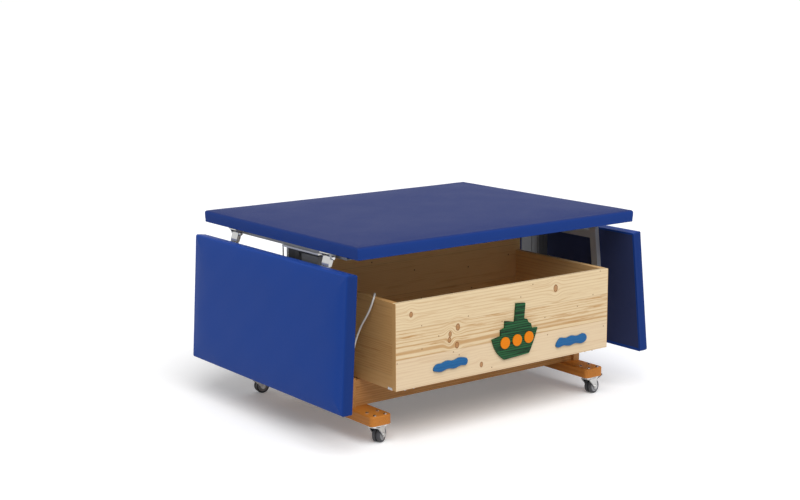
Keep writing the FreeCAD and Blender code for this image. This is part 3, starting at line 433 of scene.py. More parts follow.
def cover_shape(length, depth, thickness, crown_reach):
    """A flat underside, rings up the side and over a quarter round, and a crowned top: vertices and quads.

    Each ring is the outline drawn in by its own inset. The crown is the product of two sines of the
    distance from the edges, each to the crown's power.
    """
    half = np.array((length, depth)) / 2 - swell_allowance
    xs, ys = graded(half[0], steps_along), graded(half[1], steps_across)
    grid_x, grid_y = np.meshgrid(xs / half[0], ys / half[1], indexing="ij")
    index = np.arange(grid_x.size).reshape(grid_x.shape)
    rim = np.concatenate([index[:-1, 0], index[-1, :-1], index[:0:-1, -1], index[0, :0:-1]])
    quads = np.stack([index[:-1, :-1], index[1:, :-1], index[1:, 1:], index[:-1, 1:]], -1).reshape(-1, 4)

    def level(inset, height):
        reach = half - inset
        corner = max(pad_corner - inset * 0.15, least_corner)
        x, y = round_corners(grid_x * reach[0], grid_y * reach[1], reach[0], reach[1], corner)
        return np.stack([x, y, np.full_like(x, height)], -1).reshape(-1, 3)

    rise = np.linspace(0, 1, side_rings)
    side_in = foot_tuck * (1 - np.sin(np.clip(rise / foot_tuck_top, 0, 1) * math.pi / 2))
    side_up = cover_wall + rise * (thickness - edge_round - cover_wall)
    bend = np.linspace(0, math.pi / 2, side_rings)[1:-1]
    insets = np.concatenate([side_in, edge_round * (1 - np.cos(bend))])
    heights = np.concatenate([side_up, thickness - edge_round + edge_round * np.sin(bend)])
    under = level(foot_tuck + under_inset, cover_wall)
    top = level(edge_round, thickness)
    inner = half - edge_round
    from_edge = np.clip((inner - np.abs(top[:, :2])) / crown_reach, 0, 1)
    top[:, 2] += crown * np.prod(np.sin(from_edge * math.pi / 2) ** crown_power, axis=1)
    rings = [level(inset, height)[rim] for inset, height in zip(insets, heights)]
    vertices = np.concatenate([under] + rings + [top])
    first_top = len(under) + len(rings) * len(rim)
    rows = [rim] + [len(under) + place * len(rim) + np.arange(len(rim)) for place in range(len(rings))]
    rows = np.stack(rows + [first_top + rim])
    rows = np.concatenate([rows, rows[:, :1]], 1)
    strips = np.stack([rows[:-1, :-1], rows[:-1, 1:], rows[1:, 1:], rows[1:, :-1]], -1).reshape(-1, 4)
    faces = np.concatenate([quads[:, ::-1], strips, quads + first_top])
    return vertices, faces, len(under) + len(rim)


def swollen(vertices, faces, held):
    """The cover as cloth with the foam's pressure in it, held at its underside.

    A point's way is the most it may move times the hyperbolic tangent of the simulated way over that.
    """
    trial = surface("cloth_trial", vertices, faces)
    stapled = trial.vertex_groups.new(name="stapled")
    stapled.add(list(range(held)), 1.0, "REPLACE")
    cloth = trial.modifiers.new("foam", "CLOTH")
    cloth.settings.vertex_group_mass = "stapled"
    cloth.settings.use_pressure = True
    cloth.settings.uniform_pressure_force = foam_pressure
    cloth.settings.tension_stiffness = cloth_stiffness
    cloth.settings.compression_stiffness = cloth_stiffness
    cloth.settings.bending_stiffness = 1.0
    cloth.settings.effector_weights.gravity = 0
    for step in range(1, cloth_frames + 1):
        bpy.context.scene.frame_set(step)
    settled = trial.evaluated_get(bpy.context.evaluated_depsgraph_get()).data
    places = np.empty(len(vertices) * 3, np.float32)
    settled.vertices.foreach_get("co", places)
    way = places.reshape(-1, 3) - vertices
    far = np.linalg.norm(way, axis=1, keepdims=True)
    bpy.data.objects.remove(trial)
    bpy.context.scene.frame_set(1)
    return vertices + way * swell_most * np.tanh(far / swell_most) / np.maximum(far, 1e-9)


def worked(vertices, length, depth, thickness, seed):
    """The upholsterer's marks: a tuck down each corner, slack beside it, and slow waves over all.

    The tuck is a Gauss curve of the distance along the corner's arc, and fades towards the top edge. The
    waves are products and sums of sines of the place, at the rates in radians a metre given above.
    """
    x, y, z = vertices.T
    half_x, half_y = length / 2, depth / 2
    phase = seed * 1.7
    rise = np.clip(z / thickness, 0, 1.2)
    right, back = np.abs(x) - (half_x - 2 * pad_corner), np.abs(y) - (half_y - 2 * pad_corner)
    turn = np.arctan2(back, right) - math.pi / 4
    near = (right > 0) & (back > 0)
    lean = tuck_lean * np.sin(rise * 3 + phase)
    from_tuck = (turn - lean) * 2 * pad_corner
    tuck = near * np.exp(-(from_tuck / tuck_width) ** 2) * np.clip(1.05 - rise, 0, 1)
    tuck = tuck * np.clip(z / tuck_fade, 0, 1) * tuck_depth
    slack = near * np.sin(turn * corner_folds + phase) * np.clip(1 - rise, 0, 1) * slack_depth
    inward = (tuck - slack) * corner_share
    moved = vertices.copy()
    moved[:, 0] -= np.sign(x) * inward
    moved[:, 1] -= np.sign(y) * inward
    side = np.exp(-((rise - side_middle) / side_spread) ** 2)
    along = np.where(np.abs(y) > half_y - end_zone, x, y)
    swing = np.sin(along * side_rates[0] + phase) * np.sin(along * side_rates[1] + 1.3 * phase)
    swing = side_wave * swing * side
    moved[:, 0] *= 1 + swing / half_x
    moved[:, 1] *= 1 + swing / half_y
    on_top = np.clip((z - thickness + top_fade_start) / top_fade, 0, 1)
    wave = np.sin(x * top_rates[0] + phase) * np.cos(y * top_rates[1] + phase * 2)
    wave = wave + cross_share * np.sin(x * cross_rates[0] - y * cross_rates[1] + phase)
    to_corner = np.hypot(np.abs(x) - half_x, np.abs(y) - half_y)
    heading = np.arctan2(half_y - np.abs(y), half_x - np.abs(x) + 1e-6)
    pull = np.exp(-(to_corner / corner_reach) ** 2) * np.sin(heading * corner_folds)
    moved[:, 2] += (top_wave * wave + corner_pull * pull) * on_top
    return moved


def maths(tree, operation, *values):
    """One arithmetic step on numbers and sockets."""
    return node(tree, "ShaderNodeMath", *values, operation=operation).outputs["Value"]


def coordinate(tree, place, axis):
    """One of the three coordinates of a place."""
    return node(tree, "ShaderNodeSeparateXYZ", Vector=place).outputs[axis]


def leatherette(name, tones, roughness, painted_shade_from=None, edge_from=None):
    """Coarse and fine cells for the embossed grain, a slow change of tone, and a soft even gloss.

    Above the given height the blue is darker and greyer, painted shade and sheen on the top, with faint
    scuffs of wear from long stretched noise.
    Further than edge_from to the front and back of the middle it is a darker blue, painted shade on the
    narrow sides.
    """
    material, tree, shader = new_finish(name, roughness)
    shader.inputs["Specular IOR Level"].default_value = leather_specular
    place = object_place(tree)
    effect = mottled(tree, place, *tones, blotch=7.0, grain=1500.0)
    cells = node(tree, "ShaderNodeTexVoronoi", feature="DISTANCE_TO_EDGE", Vector=place, Scale=leather_cells)
    pores = ranged(tree, cells.outputs["Distance"], From_Max=0.12)
    colour = effect["Colour"]
    # Painted shade and sheen: the top face is darkened and greyed, and real scuffs of wear are laid over it.
    if painted_shade_from:
        height = coordinate(tree, place, "Z")
        top_shade = ranged(tree, height, From_Min=painted_shade_from, From_Max=top_edge, To_Max=0.92)
        wiped = node(tree, "ShaderNodeMapping", Vector=place, Scale=(1.0, 2.4, 1.0), Rotation=(0, 0, 0.4))
        marks = noise(tree, wiped.outputs["Vector"], scale=26.0, detail=6.0, roughness=0.7)
        faint = ranged(tree, marks, From_Min=0.56, From_Max=0.78, To_Max=0.6)
        colour = blended(tree, colour, top_shade_and_sheen_blue, top_shade)
        colour = blended(tree, colour, scuff_blue, maths(tree, "MULTIPLY", faint, top_shade))
    # Painted shade: the narrow front and back sides turn a darker blue.
    if edge_from:
        out = maths(tree, "SUBTRACT", coordinate(tree, place, "Y"), middle_y)
        edge = ranged(tree, maths(tree, "ABSOLUTE", out), From_Min=edge_from, From_Max=edge_from + edge_fade)
        colour = blended(tree, colour, edge_blue_painted_shade, edge)
    emboss = maths(tree, "ADD", pores, effect["Height"])
    feed(
        tree, shader, colour, emboss, relief=0.22, depth=leather_depth,
        uneven=effect["Blotches"], low=roughness - 0.06, high=roughness + 0.06,
    )
    return material


joint_at = {joint["name"]: joint for joint in frame["joints"]}
middle_x = frame_shift[0]
middle_y = frame_shift[1]
top_low, top_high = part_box("top_pad")
top_length, pad_depth = top_high.x - top_low.x, top_high.y - top_low.y
top_thickness = 0.042
blue = leatherette("blue_leatherette", leaf_blue, roughness=0.5, edge_from=pad_depth / 2 - edge_width)
top_edge = top_low.z + top_thickness
# The top cushion's material: a darker copy of the blue on its sides and a darker, greyer blue on its top,
# all painted shade, with painted sheen on the top.
blue_top = leatherette("top_leatherette_painted_shade", side_blue_painted_shade, roughness=0.6, painted_shade_from=top_edge - painted_shade_height)
leaf_thickness = 0.040
leaf_length = 0.448
leaf_start = top_high.x + leaf_gap
leaf_under = top_edge - leaf_thickness


def hung(points, side):
    """Turns a raised right leaf's points down about its pins, and mirrors them for the left leaf.

    A turn by the hang angle about Y through the pivot: x' = x cos + z sin, z' = z cos - x sin.
    """
    joint = joint_at["leaf_%s_fold" % side]
    angle = math.radians(joint["range_deg"][1])
    pivot_x = joint_at["leaf_right_fold"]["pos_m"][0]
    pivot_z = joint["pos_m"][2]
    x, z = points[..., 0] - pivot_x, points[..., 2] - pivot_z
    moved = points.copy()
    moved[..., 0] = pivot_x + x * math.cos(angle) + z * math.sin(angle)
    moved[..., 2] = pivot_z + z * math.cos(angle) - x * math.sin(angle)
    if side == "left":
        moved[..., 0] = 2 * middle_x - moved[..., 0]
    return moved


def upholster(name, points, faces, material, body, node_name):
    """Gives a cover its finish, smooths it and puts it in the place of the CAD cushion."""
    piece = surface(name, points, faces)
    smooth = piece.modifiers.new("smooth", "SUBSURF")
    smooth.levels = 1
    smooth.render_levels = 1
    finished(piece, body, material)
    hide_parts(node_name)


top_shape, top_faces, top_held = cover_shape(top_length, pad_depth, top_thickness, top_crown_reach)
top_shape = worked(swollen(top_shape, top_faces, top_held), top_length, pad_depth, top_thickness, 1)
top_shape = top_shape + np.array((middle_x, middle_y, top_low.z))
upholster("top_cushion", top_shape, top_faces, blue_top, "top", "top_pad")
leaf_shape, leaf_faces, leaf_held = cover_shape(leaf_length, pad_depth, leaf_thickness, leaf_crown_reach)
leaf_shape = swollen(leaf_shape, leaf_faces, leaf_held)
leaf_place = np.array((leaf_start + leaf_length / 2, middle_y, leaf_under))
for side, seed in (("left", 2), ("right", 3)):
    leaf_points = hung(worked(leaf_shape, leaf_length, pad_depth, leaf_thickness, seed) + leaf_place, side)
    leaf_sides = leaf_faces[:, ::-1] if side == "left" else leaf_faces
    upholster("leaf_cushion_" + side, leaf_points, leaf_sides, blue, "leaf_" + side, "leaf_%s_pad" % side)
# Painted shade: the leaf boards' undersides get a darker, greyer copy of the leatherette.
blue_board = leatherette("shaded_leatherette", board_blue_painted_shade, roughness=0.65)
dress(blue_board, "leaf_left_board", "leaf_right_board")

# Boards. The couch top's board has a black lining cloth stapled over its underside, and
# the drawer's floor is thin birch plywood with a fine grain along the couch.
plywood_light = (0.53, 0.38, 0.22, 1)
plywood_dark = (0.42, 0.28, 0.15, 1)
knot_brown = (0.43, 0.2, 0.07, 1)
knot_rim = (0.29, 0.12, 0.04, 1)
speck_brown = (0.2, 0.075, 0.025, 1)
glue_brown = (0.42, 0.24, 0.1, 1)
glue_width = 0.0012
wood_specular = 0.2
wood_depth = 0.0003
lining = mottled_finish(
    "lining_cloth", (0.012, 0.012, 0.013, 1), (0.02, 0.02, 0.022, 1), roughness=0.9,
    blotch=30.0, grain=1800.0, relief=0.5,
)
dress(lining, "top_board")


def vectors(tree, operation, *values):
    """One arithmetic step on vectors and sockets."""
    return node(tree, "ShaderNodeVectorMath", *values, operation=operation).outputs["Vector"]


def grain_effect():
    """Growth lines along local X: rings about a bent axis, faded in places, dark streaks and fine fibres.

    The place is squeezed along X and bent by slow noise. Its distance from the axis gives the rings, and
    the peaks of a long noise give the streaks.
    """
    group, given = new_effect(
        "wood_grain",
        [("Vector", "Vector", None), ("Light", "Color", (0.7, 0.5, 0.3, 1)),
         ("Dark", "Color", (0.5, 0.3, 0.15, 1)), ("Rings", "Float", 50.0), ("Fibres", "Float", 320.0),
         ("Contrast", "Float", 0.5)],
        [("Colour", "Color"), ("Height", "Float")],
    )
    squeezed = node(
        group, "ShaderNodeMapping", Vector=given["Vector"], Scale=(0.04, 1.0, 1.0)
    ).outputs["Vector"]
    slow = node(group, "ShaderNodeTexNoise", Vector=squeezed, Scale=6.0, Detail=3.0, Roughness=0.55)
    bent = vectors(group, "MULTIPLY_ADD", slow.outputs["Color"], (0.0, 0.045, 0.045), squeezed)
    rings = node(
        group, "ShaderNodeTexWave", wave_type="RINGS", rings_direction="X", Vector=bent,
        Scale=given["Rings"], Distortion=1.2, Detail=3.0, Detail_Scale=2.5,
    )
    late = ranged(group, rings.outputs["Fac"], From_Min=0.62, From_Max=0.97)
    places = noise(group, squeezed, scale=9.0, detail=1.0)
    shown = ranged(group, places, From_Min=0.34, From_Max=0.6, To_Min=0.2)
    ring_lines = maths(group, "MULTIPLY", maths(group, "MULTIPLY", late, shown), 0.85)
    streaks = noise(group, bent, scale=150.0, detail=4.0, roughness=0.62)
    streaks = ranged(group, streaks, From_Min=0.54, From_Max=0.66)
    lines = maths(group, "MAXIMUM", ring_lines, streaks)
    fibres = noise(group, bent, given["Fibres"], detail=4.0, roughness=0.7)
    fibres = ranged(group, fibres, From_Min=0.35, From_Max=0.75, To_Max=0.35)
    height = maths(group, "MULTIPLY_ADD", lines, 0.85, fibres)
    shade = node(group, "ShaderNodeMath", height, given["Contrast"], operation="MULTIPLY", use_clamp=True)
    colour = blended(group, given["Light"], given["Dark"], shade.outputs["Value"])
    node(group, "NodeGroupOutput", Colour=colour, Height=height)
    return group


def knot_effect():
    """A knot: the grain is pushed aside round it by a Gauss curve, and it is dark with a darker rim."""
    group, given = new_effect(
        "knot",
        [("Place", "Vector", None), ("Vector", "Vector", None), ("Middle", "Vector", (0.0, 0.0, 0.0)),
         ("Size", "Float", 0.006)],
        [("Vector", "Vector"), ("Inside", "Float"), ("Rim", "Float")],
    )
    apart = vectors(group, "SUBTRACT", given["Place"], given["Middle"])
    flat = vectors(group, "MULTIPLY", apart, (1.0, 0.0, 0.72))
    long = node(group, "ShaderNodeVectorMath", flat, operation="LENGTH").outputs["Value"]
    far = maths(group, "DIVIDE", long, given["Size"])
    fall = maths(group, "EXPONENT", maths(group, "MULTIPLY", maths(group, "POWER", far, 2.0), -0.12))
    upright = vectors(group, "MULTIPLY", apart, (0.0, 0.0, 0.85))
    push = node(group, "ShaderNodeVectorMath", upright, operation="SCALE", Scale=fall)
    node(
        group, "NodeGroupOutput",
        Vector=vectors(group, "SUBTRACT", given["Vector"], push.outputs["Vector"]),
        Inside=ranged(group, far, From_Min=0.6, From_Max=1.15, To_Min=0.85, To_Max=0.0),
        Rim=maths(group, "COMPARE", far, 0.95, 0.16),
    )
    return group


wood_grain = grain_effect()
knot = knot_effect()


def board_numbers(tree, place, joint, height):
    """The number of the board that a place lies in, from 0 above the given joint, and the glue lines."""
    count = ranged(tree, coordinate(tree, place, "Z"), clamp=False, From_Min=joint, From_Max=joint + height)
    near = maths(tree, "PINGPONG", count, 0.5)
    line = ranged(tree, near, From_Max=glue_width / height, To_Min=0.5, To_Max=0.0)
    return maths(tree, "FLOOR", count), line


def wood_finish(name, light, dark, turn=0, offset=(0, 0, 0), rings=50.0, fibres=320.0, contrast=0.8,
                roughness=0.45, knots=(), boards=None, rosy=(0.7, 0.5, 0.32, 1), specks=0.0):
    """Wood with its grain along X or turned about Z, its knots, and the joints of glued boards.

    Boards are the height of one joint and of each board. Each next board shows another part of the grain,
    the one above that joint has the strongest lines, and those below it are rosier.
    """
    material, tree, shader = new_finish(name, roughness)
    shader.inputs["Specular IOR Level"].default_value = wood_specular
    place = vector = object_place(tree)
    marks = []
    strength = contrast
    for middle, size in knots:
        made = node(
            tree, "ShaderNodeGroup", node_tree=knot, Place=place, Vector=vector, Middle=middle, Size=size
        ).outputs
        vector = made["Vector"]
        marks += [(knot_brown, made["Inside"]), (knot_rim, made["Rim"])]
    if boards:
        number, line = board_numbers(tree, place, *boards)
        jump = node(tree, "ShaderNodeCombineXYZ", X=number, Y=number).outputs["Vector"]
        vector = vectors(tree, "MULTIPLY_ADD", jump, (0.83, 0.037, 0.0), vector)
        knotty = maths(tree, "COMPARE", number, 0.0, 0.1)
        strength = ranged(tree, knotty, To_Min=contrast * 0.5, To_Max=contrast)
        below = ranged(tree, number, From_Min=-0.5, From_Max=-0.9, To_Max=0.4)
        marks = [(rosy, below)] + marks + [(glue_brown, line)]
    if specks:
        upright = node(tree, "ShaderNodeMapping", Vector=place, Rotation=(math.radians(-90), 0, 0))
        flat = upright.outputs["Vector"]
        dots = node(tree, "ShaderNodeTexVoronoi", voronoi_dimensions="2D", Vector=flat, Scale=specks)
        far = dots.outputs["Distance"]
        small = ranged(tree, far, From_Min=0.014, From_Max=0.024, To_Min=0.85, To_Max=0.0)
        marks.append((speck_brown, small))
    turning = (0, 0, math.radians(turn))
    laid = node(tree, "ShaderNodeMapping", Vector=vector, Location=offset, Rotation=turning)
    grain = node(
        tree, "ShaderNodeGroup", node_tree=wood_grain, Vector=laid.outputs["Vector"],
        Light=light, Dark=dark, Rings=rings, Fibres=fibres, Contrast=strength,
    ).outputs
    colour = grain["Colour"]
    for tone, mask in marks:
        colour = blended(tree, colour, tone, mask)
    height = grain["Height"]
    feed(
        tree, shader, colour, height, relief=0.12, depth=wood_depth,
        uneven=height, low=roughness * 0.85, high=roughness * 1.2,
    )
    return material


plywood = wood_finish("birch_plywood", plywood_light, plywood_dark, rings=14.0, contrast=0.5, roughness=0.6)
dress(plywood, "drawer_floor")

# Drawer. Glued pine boards under a clear satin varnish: a knotty front, two sides, a
# taller back. The front covers the ends of the sides.
pine_light = (0.84, 0.67, 0.42, 1)
pine_dark = (0.5, 0.25, 0.075, 1)
# A darker copy of the pine for the drawer's outer left side and the front's hidden faces: painted shade.
shaded_pine_light = (0.65, 0.37, 0.142, 1)
shaded_pine_dark = (0.46, 0.2, 0.055, 1)
hidden_face_depth = 0.0008
board_joint = 0.293
board_height = 0.096
front_low, front_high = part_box("drawer_front")
knot_places = (
    (-0.2133, 0.3669, 0.0078), (-0.2454, 0.348, 0.0062), (-0.2483, 0.3287, 0.0065),
    (-0.2169, 0.3071, 0.0075), (-0.1127, 0.2243, 0.0062), (0.2167, 0.4393, 0.0085),
    (-0.4044, 0.4353, 0.0062),
)
front_knots = [((x + middle_x, front_low.y, z), size) for x, z, size in knot_places]
pine_front = wood_finish(
    "pine_front", pine_light, pine_dark, offset=(0.3, 0.47, -0.34), rings=34.0, contrast=0.85,
    knots=front_knots, boards=(board_joint, board_height), rosy=(0.8, 0.62, 0.44, 1), specks=9.0,
)
# The left side's darker pine is painted shade.
pine_side = wood_finish(
    "pine_side", shaded_pine_light, shaded_pine_dark, turn=90, offset=(0, 0.2, 0.13), boards=(0.24, 0.11),
    contrast=0.75, rosy=shaded_pine_light,
)
inner_light = (0.88, 0.56, 0.25, 1)
inner_dark = (0.6, 0.29, 0.09, 1)
pine_back = wood_finish(
    "pine_back", inner_light, inner_dark, offset=(0.1, 0.1, 0.3), boards=(0.26, 0.12), contrast=0.75,
    rosy=inner_light, specks=7.0,
)
pine_right = wood_finish(
    "pine_right", inner_light, inner_dark, turn=90, offset=(0.2, 0.1, 0.4), boards=(0.24, 0.11),
    contrast=0.75, rosy=inner_light,
)


def paint_shade_on_hidden_faces(material, low, high, tone):
    """Lays painted shade, the darker pine tone, over the ends and the inner face of a front board, a thin
    skin deep.
    """
    tree = material.node_tree
    base = tree.nodes["Principled BSDF"].inputs["Base Color"]
    place = object_place(tree)
    inner = maths(tree, "GREATER_THAN", coordinate(tree, place, "Y"), high.y - hidden_face_depth)
    half = (high.x - low.x) / 2
    between = maths(tree, "COMPARE", coordinate(tree, place, "X"), low.x + half, half - hidden_face_depth)
    mask = maths(tree, "MAXIMUM", inner, maths(tree, "SUBTRACT", 1.0, between))
    tree.links.new(blended(tree, base.links[0].from_socket, tone, mask), base)


# Painted shade on the front's end faces and inner face.
paint_shade_on_hidden_faces(pine_front, front_low, front_high, shaded_pine_light)
dress(pine_front, "drawer_front")
dress(pine_side, "drawer_side_left")
dress(pine_right, "drawer_side_right")
dress(pine_back, "drawer_back")

# Ship, portholes and waves. Sawn from plywood, painted in green, orange and blue so
# thinly that the grain shows, and glued to the drawer front.
ship_green = wood_finish(
    "green_stain", (0.016, 0.125, 0.038, 1), (0.001, 0.018, 0.005, 1), offset=(0.4, 0.36, 0.1), rings=40.0,
    fibres=150.0, contrast=1.9,
)
porthole_orange = wood_finish(
    "orange_stain", (0.85, 0.235, 0.0, 1), (0.74, 0.18, 0.0, 1), rings=70.0, contrast=0.6
)
wave_blue = wood_finish(
    "blue_stain", (0.016, 0.13, 0.33, 1), (0.01, 0.09, 0.26, 1), rings=70.0, contrast=0.7
)
dress(ship_green, "ship")
dress(porthole_orange, "portholes")
wave_round = 0.0012
wave_end_round = 0.0145
wave_start_round = 0.026
wave_start_drop = 0.006
wave_swing = 0.0022
wave_top_pitch = 0.052
wave_bottom_pitch = 0.055
wave_half_height = 0.015
wave_tilt = 0.045
wave_tilt_middle = -0.2567
wave_merge = 0.000002
wave_sides = 144
wave_bends = 5
wave_low, wave_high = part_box("waves")


def wave_board(start, end, top, bottom, top_crest, bottom_crest):
    """A ribbon with round ends: grid from the middle of the back over the edge to the front's middle.

    Its upper and lower edges are a level plus a cosine of the place along it, and quarter ellipses close
    its ends; the left one is longer and drops with the square of the place along it. Each ring is the
    outline shrunk towards the ribbon's middle line.
    """
    turn = np.linspace(0, 2 * math.pi, wave_sides, endpoint=False)
    middle, half = (start + end) / 2, (end - start) / 2
    along = np.cos(turn)
    reach = np.where(along < 0, wave_start_round, wave_end_round)
    past = np.clip((half * np.abs(along) - half + reach) / reach, 0, 1)
    drop = np.where(along < 0, wave_start_drop, 0) * past ** 2
    end_share = np.sqrt(1 - past ** 2)

    def edges(x):
        upper = top + wave_swing * np.cos((x - top_crest) * 2 * math.pi / wave_top_pitch)
        lower = bottom + wave_swing * np.cos((x - bottom_crest) * 2 * math.pi / wave_bottom_pitch)
        return upper, lower

    rings = []
    bends = np.linspace(0, math.pi / 2, wave_bends)
    shrink = np.concatenate([[0, 1], 1 - wave_round * (1 - np.cos(bends)) / wave_half_height, [0]])
    depth = np.concatenate([[0, 0], wave_high.y - wave_low.y - wave_round * (1 - np.sin(bends))])
    depth = np.concatenate([depth, depth[-1:]])
    for share, out in zip(shrink, depth):
        x = middle + half * along * share
        upper, lower = edges(x)
        level = (upper + lower) / 2 - drop * share
        z = level + np.sign(np.sin(turn)) * end_share * (upper - lower) / 2 * share
        rings.append(np.stack([x, np.full_like(x, wave_high.y - out), z], 1))
    return np.stack(rings)


wave_grids = [
    wave_board(
        start=-0.328, end=-0.1855, top=0.2610, bottom=0.2335, top_crest=-0.272, bottom_crest=-0.269
    ),
    wave_board(
        start=0.2075, end=0.3528, top=0.2602, bottom=0.2306, top_crest=0.2818, bottom_crest=0.2983
    ),
]
wave_grids[0][..., 2] += (wave_grids[0][..., 0] - wave_tilt_middle) * wave_tilt
wave_skins = [skin("wave_part", grid, turn=True, merge=wave_merge) for grid in wave_grids]
wave_mesh = bmesh.new()
for part in wave_skins:
    wave_mesh.from_mesh(part.data)
    bpy.data.objects.remove(part)
waves_data = bpy.data.meshes.new("wave_boards")
wave_mesh.to_mesh(waves_data)
wave_mesh.free()
waves = bpy.data.objects.new("wave_boards", waves_data)
bpy.context.scene.collection.objects.link(waves)
finished(waves, "drawer", wave_blue)
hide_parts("waves")

# Base. Pine boards stained a warm orange brown: two broad feet, two side boards on them,
# rails across and the bearers of the slides.
stain_light = (0.56, 0.21, 0.035, 1)
stain_dark = (0.38, 0.115, 0.014, 1)
rail_light = (0.52, 0.26, 0.085, 1)
rail_dark = (0.34, 0.14, 0.035, 1)
stain_across = wood_finish("stained_rail", rail_light, rail_dark, offset=(0.2, 0.1, 0.05))
stain_along = wood_finish(
    "stained_foot", stain_light, stain_dark, turn=90, offset=(0.1, 0.3, 0.02), contrast=0.55
)
stain_side = wood_finish("stained_side", rail_light, rail_dark, turn=90, offset=(0.3, 0.1, 0.2))
dress(stain_across, "front_rail", "rear_rail")
dress(stain_along, "foot_left", "foot_right")
dress(stain_side, "side_board_left", "side_board_right", "slide_bearers")

# Steel under the couch top. Square tubes with a silver-grey powder coat carry the boards, and
# the tie between the columns is such a tube; the leaves' arms show the coat lighter: painted light.
silver_coat = mottled_finish(
    "silver_powder_coat", (0.3, 0.305, 0.32, 1), (0.26, 0.265, 0.28, 1), roughness=0.38, metallic=0.35,
    blotch=20.0, grain=1400.0, relief=0.3,
)
dress(silver_coat, "top_side_rails", "top_cross_rails", "cross_tie")
# A lighter copy of the same powder coat for the leaves' arms and cross rails: painted light.
silver_arms_painted_light = mottled_finish(
    "silver_arms_painted_light", (0.48, 0.49, 0.52, 1), (0.42, 0.43, 0.46, 1), roughness=0.36, metallic=0.35,
    blotch=20.0, grain=1400.0, relief=0.3,
)
dress(silver_arms_painted_light, "leaf_left_arms", "leaf_right_arms", "leaf_left_cross_rail", "leaf_right_cross_rail")

# Lift motors. Each has a black moulded gearbox, bolted up under its head plate, and a grey
# motor housing in front of it.
motor_start_y = -0.0945
gearbox_black = (0.022, 0.022, 0.024, 1)
gearbox_worn = (0.032, 0.032, 0.035, 1)
motor_grey = (0.17, 0.172, 0.18, 1)


def motor_finish():
    """Two tones of moulded housing that meet at one distance along the motor."""
    material, tree, shader = new_finish("motor_housing", roughness=0.5)
    place = object_place(tree)
    front = maths(tree, "LESS_THAN", coordinate(tree, place, "Y"), motor_start_y)
    effect = mottled(tree, place, gearbox_black, gearbox_worn, blotch=30.0, grain=1600.0)
    colour = blended(tree, effect["Colour"], motor_grey, front)
    feed(
        tree, shader, colour, effect["Height"], relief=0.25, depth=grain_depth,
        uneven=effect["Blotches"], low=0.42, high=0.6,
    )
    return material


dress(motor_finish(), "lift_motors")

# Lifting columns. Anodised grey aluminium profiles, drawn lengthwise, so that their fine
# lines run up and down; the moving tube inside is darker.
drawn_grey = (0.13, 0.132, 0.14, 1)
drawn_shade = (0.1, 0.102, 0.108, 1)
tube_grey = (0.07, 0.07, 0.073, 1)
tube_shade = (0.05, 0.05, 0.053, 1)
drawn_stretch = (900, 900, 3)


def drawn_metal(name, colour, second, roughness, metallic):
    """Fine lines along Z: noise that is long on that axis and short across it."""
    material, tree, shader = new_finish(name, roughness, metallic)
    longer = node(tree, "ShaderNodeMapping", Vector=object_place(tree), Scale=drawn_stretch)
    lines = noise(tree, longer.outputs["Vector"], scale=1.0, detail=4.0, roughness=0.7)
    colour = blended(tree, colour, second, lines)
    feed(
        tree, shader, colour, lines, relief=0.06, depth=grain_depth,
        uneven=lines, low=roughness * 0.8, high=roughness * 1.25,
    )
    return material


anodised = drawn_metal("anodised_grey", drawn_grey, drawn_shade, roughness=0.42, metallic=0.6)
dark_tube = drawn_metal("dark_tube", tube_grey, tube_shade, roughness=0.42, metallic=0.7)
dress(anodised, "column_tube_left", "column_tube_right")
dress(dark_tube, "column_inner_left", "column_inner_right")

# Zinc-plated steel. Hinge plates, knuckles, head plates, slides, castor plates and forks
# have a pale plating with a faint yellow and blue bloom.
zinc = mottled_finish(
    "zinc_plate", (0.62, 0.62, 0.6, 1), (0.53, 0.53, 0.53, 1), roughness=0.3, metallic=1.0,
    blotch=60.0, grain=2000.0,
)
dress(
    zinc, "hinge_brackets", "leaf_left_hinges", "leaf_right_hinges", "head_plates",
    "slide_channels", "slide_mids", "drawer_rails", "castor_plates",
    "castor_fork_front_left", "castor_fork_front_right", "castor_fork_rear_left", "castor_fork_rear_right",
)
bright = mottled_finish(
    "bright_steel", (0.72, 0.72, 0.73, 1), (0.66, 0.66, 0.67, 1), roughness=0.16, metallic=1.0,
    blotch=50.0,
)
dress(bright, "hinge_pins", "castor_bolts")

# Wheels. Soft grey treads run on a pale moulded wheel, whose rib shows on both sides, and
# black rubber buffers stand behind the drawer.
hub_profile = np.array([
    (0.0042, 0.0112), (0.0042, 0.0152), (0.0078, 0.0152), (0.0092, 0.0144),
    (0.0118, 0.0134), (0.0158, 0.0134), (0.0162, 0.0146), (0.0168, 0.0149),
    (0.0178, 0.0149), (0.0184, 0.0145), (0.0186, 0.0134), (0.0186, 0.0112),
])
tread_rubber = mottled_finish(
    "tread_rubber", (0.045, 0.045, 0.05, 1), (0.07, 0.07, 0.074, 1), roughness=0.6,
    blotch=80.0, grain=1600.0, relief=0.3,
)
wheel_plastic = mottled_finish(
    "wheel_plastic", (0.36, 0.36, 0.37, 1), (0.3, 0.3, 0.31, 1), roughness=0.4,
    blotch=60.0, grain=1500.0,
)
for corner in ("front_left", "front_right", "rear_left", "rear_right"):
    wheel = joint_at["wheel_" + corner]
    for face, way in (("outer", 1), ("inner", -1)):
        rib = turned(hub_profile, wheel["pos_m"], np.array(wheel["axis"]) * way, sides=40)
        hub = skin("wheel_rib_%s_%s" % (corner, face), rib, wrap_rows=True, turn=True)
        finished(hub, "castor_wheel_" + corner, wheel_plastic)
dress(
    tread_rubber, "castor_wheel_front_left", "castor_wheel_front_right",
    "castor_wheel_rear_left", "castor_wheel_rear_right", "tie_buffers",
)

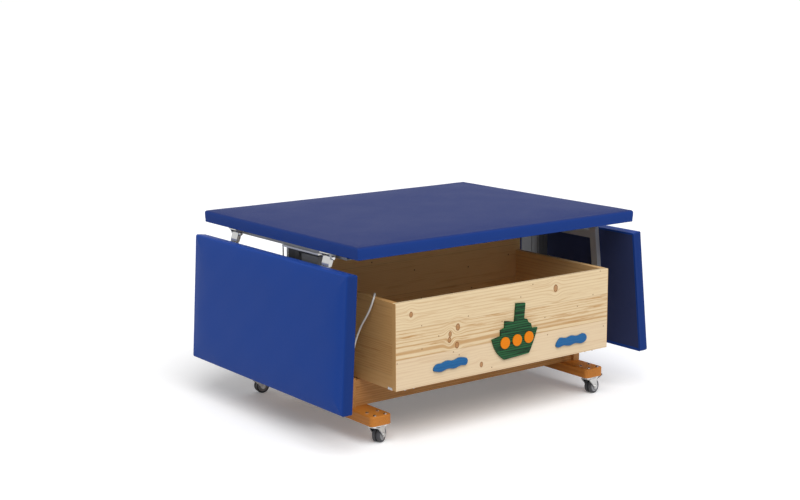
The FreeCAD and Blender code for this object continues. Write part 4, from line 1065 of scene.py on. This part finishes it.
# Floor and light. A pale floor without an end takes the soft shadow, which is lifted a
# little where it is seen; an even sky and one broad soft sun light the couch from the front.
floor_size = 90.0
floor_drop = 0.0005
floor_grey = (0.62, 0.62, 0.63, 1)
floor_lift = 0.13
sky_grey = (0.45, 0.45, 0.46, 1)
backdrop_white = (1, 1, 1, 1)
sun_energy = 2.25
sun_angle = 50
sun_travel = (0.22, 0.56, -0.8)
floor_points = np.array([(-1, -1, 0), (1, -1, 0), (1, 1, 0), (-1, 1, 0)]) * floor_size
floor_points[:, 2] = -floor_drop
floor = surface("studio_floor", floor_points, np.array([[0, 1, 2, 3]]), False)


def seen_or_mirrored(tree):
    """One where a ray comes from the camera, a gloss or a glass, so that these see the white backdrop."""
    path = node(tree, "ShaderNodeLightPath").outputs
    seen = maths(tree, "MAXIMUM", path["Is Camera Ray"], path["Is Glossy Ray"])
    return maths(tree, "MAXIMUM", seen, path["Is Transmission Ray"])


floor_finish, floor_tree, floor_shader = new_finish("pale_floor", roughness=0.9)
floor_shader.inputs["Specular IOR Level"].default_value = 0.0
floor_seen = seen_or_mirrored(floor_tree)
floor_colour = blended(floor_tree, floor_grey, backdrop_white, floor_seen)
floor_tree.links.new(floor_colour, floor_shader.inputs["Base Color"])
floor_tree.links.new(floor_seen, floor_shader.inputs["Emission Color"])
floor_shader.inputs["Emission Strength"].default_value = floor_lift
floor.data.materials.append(floor_finish)
world = bpy.data.worlds.new("studio")
world.use_nodes = True
bpy.context.scene.world = world
sky_tree = world.node_tree
sky = sky_tree.nodes["Background"]
sky_colour = blended(sky_tree, sky_grey, backdrop_white, seen_or_mirrored(sky_tree))
sky_tree.links.new(sky_colour, sky.inputs["Color"])
sun_data = bpy.data.lights.new("soft_sun", "SUN")
sun_data.energy = sun_energy
sun_data.angle = math.radians(sun_angle)
sun = bpy.data.objects.new("soft_sun", sun_data)
sun.rotation_euler = Vector(sun_travel).to_track_quat("-Z", "Y").to_euler()
bpy.context.scene.collection.objects.link(sun)
bpy.context.scene.view_settings.view_transform = "Standard"
